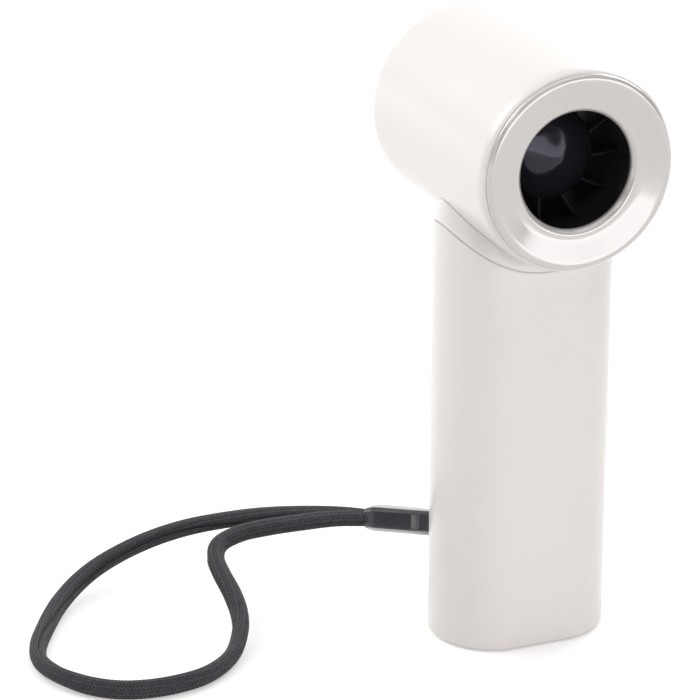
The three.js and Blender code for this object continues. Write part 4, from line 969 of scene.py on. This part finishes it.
class FAN_OT_bezel(bpy.types.Operator):
    """Front ring with its rim bead, shallow dish and throat"""
    bl_idname = "fan.bezel"
    bl_label = "Front bezel"

    def execute(self, context):
        s = sizes(context)
        front, back = BEZEL[0].y, BEZEL[1].y
        rim, throat, fit = s.radius - 0.96, s.throat, NOZZLE[1].x
        wall = 1.5
        # Each point's radius from the rim, or from the throat for the lip, and its depth from the front
        bead = [(-0.05, 1.27), (0, 0.9), (-0.11, 0.6), (-0.34, 0.33), (-0.74, 0.1), (-1.19, 0),
                (-1.59, 0.035), (-1.94, 0.12)]
        dish = [(-2.34, 0.25), (-2.85, 0.43), (-3.94, 0.81), (-5.04, 1.2), (-5.74, 1.44), (-6.24, 1.58)]
        lip = [(1.9, 1.67), (1.45, 1.72), (1.0, 1.76), (0.7, 1.86), (0.45, 2.03), (0.2, 2.27),
               (-0.02, 2.55), (-0.17, 2.85), (-0.22, 3.1)]
        face = [(rim + r, front + deep) for r, deep in bead + dish]
        face += [(throat + r, front + deep) for r, deep in lip]
        profile = [
            *through(face, 6), (throat - 0.15, front + 3.4), (throat, front + 3.8),
            (throat + 2.7, front + 3.8), (fit - wall, front + 3.3), (fit - wall, back), (fit, back),
            (fit, front + bead[0][1]),
        ]
        ring = turned("bezel_ring", profile, s.centre, sides=192)
        settle(ring, "pearl_lacquered_bezel", "shell_plastic", "front_bezel")
        return {"FINISHED"}


class FAN_OT_duct(bpy.types.Operator):
    """Outlet nozzle and impeller shroud"""
    bl_idname = "fan.duct"
    bl_label = "Duct"

    def execute(self, context):
        s = sizes(context)
        fit = NOZZLE[1].x
        outer = fit - FLANGE_HEIGHT
        front, back = NOZZLE[0].y, NOZZLE[1].y
        lip, deep = s.throat + GAP, back - front
        swell = [(0.2, 0.17), (0.7, 0.48), (1, 0.74), (1, 1)]
        inside = through([
            (lip, front + 0.1), *[(lip + (s.duct - lip) * r, front + deep * along) for r, along in swell],
        ], 8)
        profile = [
            *inside, (fit, back), (fit, back - FLANGE_LENGTH), (outer, back - FLANGE_LENGTH), (outer, front),
            (lip + 0.2, front),
        ]
        nozzle = turned("outlet_cone", profile, s.centre, sides=160)
        settle(nozzle, "black_abs_duct", "duct_plastic", "outlet_nozzle")

        front, back = SHROUD[0].y, SHROUD[1].y
        flare, mouth = IMPELLER[1].y + 1, fit - 0.7
        inside = through([
            (s.duct, flare), (s.duct + 0.35, flare + 2),
            (s.duct * 0.35 + mouth * 0.65, back - (back - flare) * 0.3), (mouth, back),
        ], 6)
        profile = [
            (s.duct, front), *inside, (fit, back), (fit, back - FLANGE_LENGTH), (outer, flare),
            (outer, front + FLANGE_LENGTH), (fit, front + FLANGE_LENGTH), (fit, front),
        ]
        shroud = turned("intake_shroud", profile, s.centre, sides=160)
        settle(shroud, "black_abs_duct", "duct_plastic", "impeller_shroud")
        return {"FINISHED"}


def aerofoil(name, thickness, stations, at):
    """A thin blade whose edges are rounded. at(u, v) gives radius, turn and distance along the axis."""
    edge = 0.1  # share of the chord that an edge takes
    chord = [0, 0.01, 0.03, 0.06, edge] + [edge + 0.08 * i for i in range(1, 11)] + [0.94, 0.97, 0.99, 1]
    rings = []
    for i in range(stations + 1):
        loop = []
        for side, run in ((1, chord), (-1, chord[-2:0:-1])):
            for v in run:
                near = min(min(v, 1 - v) / edge, 1.0)
                half = thickness / 2 * math.sqrt(max(0.0, 1 - (1 - near) ** 2))
                radius, turn, along = at(i / stations, v)
                turn += side * half / radius
                loop.append((radius * math.cos(turn), along, radius * math.sin(turn)))
        rings.append(loop)
    return skin(name, rings, "capped", 60)


class FAN_OT_stator(bpy.types.Operator):
    """Duct ring with its hub, vanes and nose cone"""
    bl_idname = "fan.stator"
    bl_label = "Stator and nose cone"

    def execute(self, context):
        s = sizes(context)
        fit = STATOR[1].x
        outer = fit - FLANGE_HEIGHT
        front, back = STATOR[0].y, STATOR[1].y
        ring = turned("stator_ring", [
            (s.duct, front), (fit, front), (fit, front + FLANGE_LENGTH), (outer, front + FLANGE_LENGTH),
            (outer, back - FLANGE_LENGTH), (fit, back - FLANGE_LENGTH), (fit, back), (s.duct, back),
        ], s.centre, sides=160)
        hub_front, bore, bearing, web = front + 1.5, s.hub - 1.1, 1.3, 1.5
        hub = turned("stator_hub", rounded([
            (bore, hub_front, 0.15), (s.hub, hub_front, 0.2), (s.hub, back, 0.3), (bearing, back, 0.1),
            (bearing, back - web, 0), (bore, back - web, 0),
        ], 4), s.centre)
        body = merged("stator_vanes", ring, hub)
        sunk, first, lean, sweep = 0.5, -101, 7, 14
        root, tip = bore + sunk, s.duct + sunk
        vane_back = back - 3.7

        def vane(u, v):
            turn = math.radians(first + lean * u - sweep * v * v)
            return root + (tip - root) * u, turn, hub_front + (vane_back - hub_front) * v

        grow(body, circle_tree(), aerofoil("vane", s.vane, 8, vane), "black_abs_duct",
             count=context.scene.fan_head.vane_count, centre=s.centre * MM, first_turn=0.0)
        settle(body, "black_abs_duct", "duct_plastic", "stator_housing")

        point, foot, end = NOSE[0].y, hub_front - GAP, NOSE[1].y
        rise, spigot, wall = foot - point, bore - GAP, 1
        bow = [(0, 0), (0.1, 0.03), (0.22, 0.11), (0.46, 0.3), (0.68, 0.49), (0.86, 0.7), (0.965, 0.88),
               (1, 1)]
        dome = through([(s.hub * r, point + rise * along) for r, along in bow], 8)
        inside = [(spigot, foot), (spigot, end), (spigot - wall, end), (spigot - wall, foot)]
        inside += [(spigot * r, foot - rise * along) for r, along in ((0.8, 0.42), (0.5, 0.63), (0, 0.75))]
        cone = turned("nose_dome", [*dome, *inside], s.centre, False)
        settle(cone, "polished_polycarbonate_nose", "nose_plastic", "nose_cone")
        return {"FINISHED"}


class FAN_OT_impeller(bpy.types.Operator):
    """Impeller and its nut"""
    bl_idname = "fan.impeller"
    bl_label = "Impeller"

    def execute(self, context):
        s = sizes(context)
        front, back, tip = IMPELLER[0].y, IMPELLER[1].y, IMPELLER[1].x
        deep, shaft, steps, sunk = back - front, 1.06, 20, 0.6

        def hub_radius(v):
            return s.hub * (0.98 - 0.58 * v ** 1.4)

        bow = [(hub_radius(i / steps), front + deep * i / steps) for i in range(steps + 1)]
        hub = turned("impeller_fan", [(shaft, front), *bow, (shaft, back)], s.centre, sides=96)

        start, span, lean, sweep = 0.06, 0.86, 10, 58

        def blade(u, v):
            along = start + span * v
            root = hub_radius(along) - sunk
            return root + (tip - root) * u, math.radians(sweep * v + lean * u), front + deep * along

        grow(hub, circle_tree(), aerofoil("blade", 1.0, 10, blade), "matt_polypropylene",
             count=context.scene.fan_head.blade_count, centre=s.centre * MM, first_turn=0.0)
        settle(hub, "matt_polypropylene", "inner_plastic", "impeller", body="rotor")

        foot, end, radius, crown = NUT[0].y, NUT[1].y, 3, 1.25
        cap = through([(0, end), (1.4, end - 0.2), (2.6, end - 1.2), (radius, foot + 0.3)], 5)
        profile = [*cap, (radius, foot), (shaft, foot), (shaft, end - crown), (0, end - crown)]
        nut = turned("spinner_nut", profile, s.centre, False, 48)
        settle(nut, "zinc_plated_steel", "steel", "impeller_nut", body="rotor")
        return {"FINISHED"}


class FAN_OT_grille(bpy.types.Operator):
    """Intake grille of rings and spokes in a deep rim"""
    bl_idname = "fan.grille"
    bl_label = "Intake grille"

    def execute(self, context):
        s = sizes(context)
        fit, back, front = GRILLE[1].x, GRILLE[1].y, GRILLE[0].y
        plate, edge, wall, sunk = back - 1.6, 0.3, 1.4, 0.5
        boss_edge, rim_edge = fit * 0.23, fit * 0.9
        parts = [turned("grille_boss", rounded([
            (0, back - 0.1, 0), (fit * 0.2, back, edge), (boss_edge, back, edge), (boss_edge, plate, edge),
            (0, plate, 0),
        ], 4, False), s.centre, False, 96)]
        for inner, outer in ((fit * 0.42, fit * 0.49), (fit * 0.66, fit * 0.73)):
            parts.append(turned("grille_ring", rounded([
                (inner, back, edge), (outer, back, edge), (outer, plate, edge), (inner, plate, edge),
            ], 4), s.centre))
        parts.append(turned("grille_rim", rounded([
            (rim_edge, back, edge), (fit, back, 0.4), (fit, front, 0), (fit - wall, front, 0),
            (fit - wall, plate, 0), (rim_edge, plate, edge),
        ], 4), s.centre, sides=160))
        grid = merged("grille_web", *parts)
        section = [(x, (back + plate) / 2 + y) for x, y in box_loop(0.65, 0.75, 0.28, 4)]
        for inner, outer, spokes in ((0.23, 0.42, 6), (0.49, 0.66, 9), (0.73, 0.9, 12)):
            ends = (fit * inner - sunk, fit * outer + sunk)
            spoke = skin("spoke", [[(r, y, x) for x, y in section] for r in ends], "capped")
            grow(grid, circle_tree(), spoke, "matt_polypropylene", count=spokes, centre=s.centre * MM,
                 first_turn=math.pi / spokes)
        settle(grid, "matt_polypropylene", "inner_plastic", "intake_grille")
        return {"FINISHED"}


# Grip

class FAN_OT_collar(bpy.types.Operator):
    """Band between the grip and the head"""
    bl_idname = "fan.collar"
    bl_label = "Neck collar"

    def execute(self, context):
        s = sizes(context)
        foot, seat, skirt = s.saddle - 0.06, s.radius + 0.05, COLLAR[0].z
        inner, outer = 3.6, s.wall + GAP
        rows = [
            (0.36, foot), (0.26, foot - 0.04), (0.22, foot - 0.2),
            (s.taper * 0.45, foot * 0.66 + seat * 0.34), (s.taper * 0.74, foot * 0.3 + seat * 0.7),
            (s.taper, seat + 0.16), (s.taper + 0.05, seat + 0.04), (s.taper + 0.16, seat),
            (s.taper + inner, seat),
        ]
        rings = [saddle(s, *row) for row in rows]
        rings += [level(s, inner, skirt), level(s, outer, skirt), saddle(s, outer, foot)]
        band = skin("neck_band", rings)
        settle(band, "satin_abs_shell", "shell_plastic", "neck_collar")
        return {"FINISHED"}


# The mouth that a cutter leaves in the grip's back: distances from its face, and widths that chamfer it
MOUTH = [(-4, 0), (-0.25, 0), (0.35, 0.6), (1, 0.6)]


def hole(s, radius, height):
    """A round cutter through the grip's back."""
    profile = [(radius + spread, s.back + y) for y, spread in MOUTH]
    profile = [(0, profile[0][1]), *profile, (0, profile[-1][1])]
    return turned("cutter", profile, UP * height, False, 96)


class FAN_OT_handle(bpy.types.Operator):
    """Flat-sided oval grip with its openings"""
    bl_idname = "fan.handle"
    bl_label = "Grip"

    def execute(self, context):
        s = sizes(context)
        low = GRIP[0].z
        foot = rounded([(s.wall, low, 0.2), (0, low, 0.9), (0, low + 6, 0)], 6, False)
        rings = [level(s, inset, height) for inset, height in foot]
        top_edge = [(0, 0.5), (0.06, 0.28), (0.18, 0.1), (0.38, 0), (s.wall, 0)]
        rings += [saddle(s, inset, s.saddle + drawn) for inset, drawn in top_edge]
        ledge = [(0, 9), (1.2, 8.2), (1.2, 7.2), (0, 7)]
        rings += [level(s, s.wall + inset, low + height) for inset, height in ledge]
        grip = skin("grip_shell", rings)
        half, centre, corner = (ANCHOR[1] - ANCHOR[0]) / 2, middle(ANCHOR), 1.3
        pocket = []
        for y, spread in MOUTH:
            loop = box_loop(half.x + GAP + spread, half.z + GAP + spread, corner + spread, 10)
            pocket.append([(x, s.back + y, centre.z + z) for x, z in loop])
        cut(grip, skin("cutter", pocket, "capped"), hole(s, 5.5, middle(BUTTON).z),
            hole(s, 1.05, middle(LIGHT).z))
        settle(grip, "satin_abs_shell", "shell_plastic", "handle_shell")
        return {"FINISHED"}


class FAN_OT_controls(bpy.types.Operator):
    """Power button and light pipe in the grip's back"""
    bl_idname = "fan.controls"
    bl_label = "Button and light"

    def execute(self, context):
        s = sizes(context)
        inside, stem = s.back - s.wall - GAP, 1.6
        low, high, flange = BUTTON[0].y, BUTTON[1].y, BUTTON[1].x
        radius, thick = 5.2, 0.7
        dish = through([
            (radius - 0.5, high), (radius * 0.75, high - 0.1), (radius * 0.4, high - 0.22), (0, high - 0.28),
        ], 6)
        profile = [
            (0, low), (stem, low), (stem, inside - thick), (flange, inside - thick), (flange, inside),
            (radius, inside), (radius, high - 0.5), (radius - 0.06, high - 0.25),
            (radius - 0.2, high - 0.08), *dish,
        ]
        button = turned("button_cap", profile, UP * middle(BUTTON).z, False, 96)
        settle(button, "satin_abs_shell", "shell_plastic", "power_button", body="button")

        low, high, radius = LIGHT[0].y, LIGHT[1].y, 0.9
        profile = [
            (0, low), (stem, low), (stem, inside), (radius, inside), (radius, high - 0.2),
            (radius - 0.15, high - 0.06), (radius / 2, high - 0.01), (0, high),
        ]
        pipe = turned("light_rod", profile, UP * middle(LIGHT).z, False, 48)
        settle(pipe, "acrylic_lens", "lens", "light_pipe")
        return {"FINISHED"}


class FAN_OT_anchor(bpy.types.Operator):
    """Cup in the grip's back that holds the strap's pin"""
    bl_idname = "fan.anchor"
    bl_label = "Strap anchor"

    def execute(self, context):
        half, centre = (ANCHOR[1] - ANCHOR[0]) / 2, middle(ANCHOR)
        floor, top, wall = ANCHOR[0].y, ANCHOR[1].y, 1.0
        rows = [
            (floor, 0, 1.0), (top - 0.25, 0, 1.0), (top - 0.08, 0.08, 0.95), (top, 0.25, 0.9),
            (top, 0.75, 0.6), (top - 0.08, 0.92, 0.55), (top - 0.25, wall, 0.5), (floor + wall, wall, 0.5),
        ]
        rings = []
        for y, inset, corner in rows:
            loop = box_loop(half.x - inset, half.z - inset, corner, 8)
            rings.append([(x, y, centre.z + z) for x, z in loop])
        cup = skin("anchor_cup", rings, "capped")
        settle(cup, "satin_abs_shell", "shell_plastic", "strap_anchor")
        return {"FINISHED"}


def socket_loop(spread, height):
    """A ring round the charging socket's outline on a level."""
    centre, half = middle(SOCKET), (SOCKET[1] - SOCKET[0]) / 2
    loop = box_loop(half.x + spread, half.y + spread, half.y + spread - 0.02, 12)
    return [(x, centre.y + y, height) for x, y in loop]


class FAN_OT_base(bpy.types.Operator):
    """Base cap, its two screws and the charging socket"""
    bl_idname = "fan.base"
    bl_label = "Base"

    def execute(self, context):
        s = sizes(context)
        inset, top, wall, floor = s.wall + GAP, BASE[1].z, 1.2, 2.2
        rows = [(0.5, 0), (0.15, 0.12), (0, 0.45), (0, top), (wall, top), (wall, floor)]
        cap = skin("grip_foot", [level(s, inset + drawn, height) for drawn, height in rows], "capped")
        slot = [socket_loop(spread, z) for z, spread in ((-1, 0.55), (0, 0.55), (0.3, 0.28), (3, 0.28))]
        sink, shank = 2.05, 1.05
        profile = [(0, -1), (sink + 0.25, -1), (sink + 0.25, 0), (sink, 0.2), (sink, 1.25), (shank, 1.25),
                   (shank, 3), (0, 3)]
        places = [Vector((middle(screw).x, 0, 0)) for screw in SCREWS]
        sinks = [turned("cutter", profile, spot, False, 64, "Z") for spot in places]
        cut(cap, skin("cutter", slot, "capped"), *sinks)
        settle(cap, "satin_abs_shell", "shell_plastic", "base_cap")

        head, end = SCREWS[0][0].z, SCREWS[0][1].z
        radius, shank, under = 1.9, 0.84, SCREWS[0][0].z + 1.1
        profile = [(0, head), (radius - 0.25, head), (radius - 0.06, head + 0.08), (radius, head + 0.25),
                   (radius, under), (shank, under), (shank, end - 0.5), (0.3, end), (0, end)]
        screw = turned("screw", profile, Vector(), False, 48, "Z")
        bars = []
        for turn in (0, math.pi / 2):
            spin = Matrix.Rotation(turn, 3, "Z")
            rings = []
            for deep, drawn in ((-0.5, 0), (0.62, 0.14)):
                loop = box_loop(1.15 - drawn, 0.27 - drawn / 2, 0.1, 3)
                rings.append([spin @ Vector((x, y, head + deep)) for x, y in loop])
            bars.append(skin("cutter", rings, "capped"))
        cut(screw, *bars)
        pair = put("base_screws", mesh_of("base_screws", places, []))
        grow(pair, point_tree(), screw, "zinc_plated_steel", turn_step=0.9)
        settle(pair, "zinc_plated_steel", "steel", "base_screw_1", "base_screw_2")

        low, high = SOCKET
        sheet, tongue_half = 0.32, 0.35
        rows = [
            (high.z - 1, sheet), (low.z + 0.06, sheet), (low.z + 0.06, 0.3), (low.z, 0.22), (low.z, 0.08),
            (low.z + 0.08, 0), (high.z, 0),
        ]
        case = skin("socket_case", [socket_loop(-drawn, z) for z, drawn in rows], "capped")
        loop = box_loop((high.x - low.x) / 2 - 1.2, tongue_half, 0.12, 3)
        tongue = skin("socket_tongue", [
            [(x, middle(SOCKET).y + y, z) for x, y in loop] for z in (low.z + 0.8, high.z - 0.9)
        ], "capped")
        port = merged("charge_port", case, tongue)
        settle(port, "nickel_strip", "nickel", "usb_c_socket")
        return {"FINISHED"}


# Inner parts

INNER_FINISHES = {
    "matt_polypropylene": ["inner_chassis", "switch_plunger"],
    "zinc_plated_steel": [
        "front_bearing", "rear_bearing", "motor_shaft", "head_screw_1", "head_screw_2", "collar_screw_1",
        "collar_screw_2", "board_screw_1", "board_screw_2",
    ],
    "dark_sintered_metal": ["rotor_magnet", "stator_core", "power_inductor"],
    "wound_copper": [f"motor_coil_{i}" for i in range(1, 7)],
    "nickel_strip": ["motor_end_plate", "negative_tab", "positive_tab", "board_capacitor"],
    "solder_masked_board": ["main_board"],
    "epoxy_package": ["charge_chip", "motor_driver", "tact_switch"],
    "shrink_wrap_film": ["battery_cell"],
    "open_cell_foam": ["cell_foam"],
    "acrylic_lens": ["light_chip"],
    "red_silicone_lead": ["battery_lead_positive"],
    "black_silicone_lead": ["battery_lead_negative", "motor_lead_1", "motor_lead_2", "motor_lead_3"],
}


class FAN_OT_inner_parts(bpy.types.Operator):
    """Finishes of the CAD parts inside the fan"""
    bl_idname = "fan.inner_parts"
    bl_label = "Inner parts"

    def execute(self, context):
        for look, nodes in INNER_FINISHES.items():
            for node in nodes:
                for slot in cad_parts[node].material_slots:
                    slot.link = "OBJECT"
                    slot.material = finish(look)
        return {"FINISHED"}


# Add-on

GROUPS = {
    "fan_head": FanHeadSizes, "fan_grip": FanGripSizes, "fan_strap": FanStrapSizes,
    "fan_colours": FanColours,
}
STEPS = [
    FAN_OT_stage, FAN_OT_strap, FAN_OT_tether, FAN_OT_head_shell, FAN_OT_bezel, FAN_OT_duct, FAN_OT_stator,
    FAN_OT_impeller, FAN_OT_grille, FAN_OT_collar, FAN_OT_handle, FAN_OT_controls, FAN_OT_anchor,
    FAN_OT_base, FAN_OT_inner_parts,
]


class FAN_PT_pieces(bpy.types.Panel):
    """Pieces of the handheld fan"""
    bl_label = "Handheld fan"
    bl_space_type = "VIEW_3D"
    bl_region_type = "UI"
    bl_category = "Fan"

    def draw(self, context):
        for name, kind in GROUPS.items():
            box = self.layout.box()
            for value in kind.__annotations__:
                box.prop(getattr(context.scene, name), value)
        for step in STEPS:
            self.layout.operator(step.bl_idname)


CLASSES = [*GROUPS.values(), *STEPS, FAN_PT_pieces]


def register():
    for kind in CLASSES:
        bpy.utils.register_class(kind)
    for name, kind in GROUPS.items():
        setattr(bpy.types.Scene, name, PointerProperty(type=kind))


def unregister():
    for name in GROUPS:
        delattr(bpy.types.Scene, name)
    for kind in reversed(CLASSES):
        bpy.utils.unregister_class(kind)


def main():
    register()
    for step in STEPS:
        group, name = step.bl_idname.split(".")
        getattr(getattr(bpy.ops, group), name)()


if __name__ == "__main__":
    main()
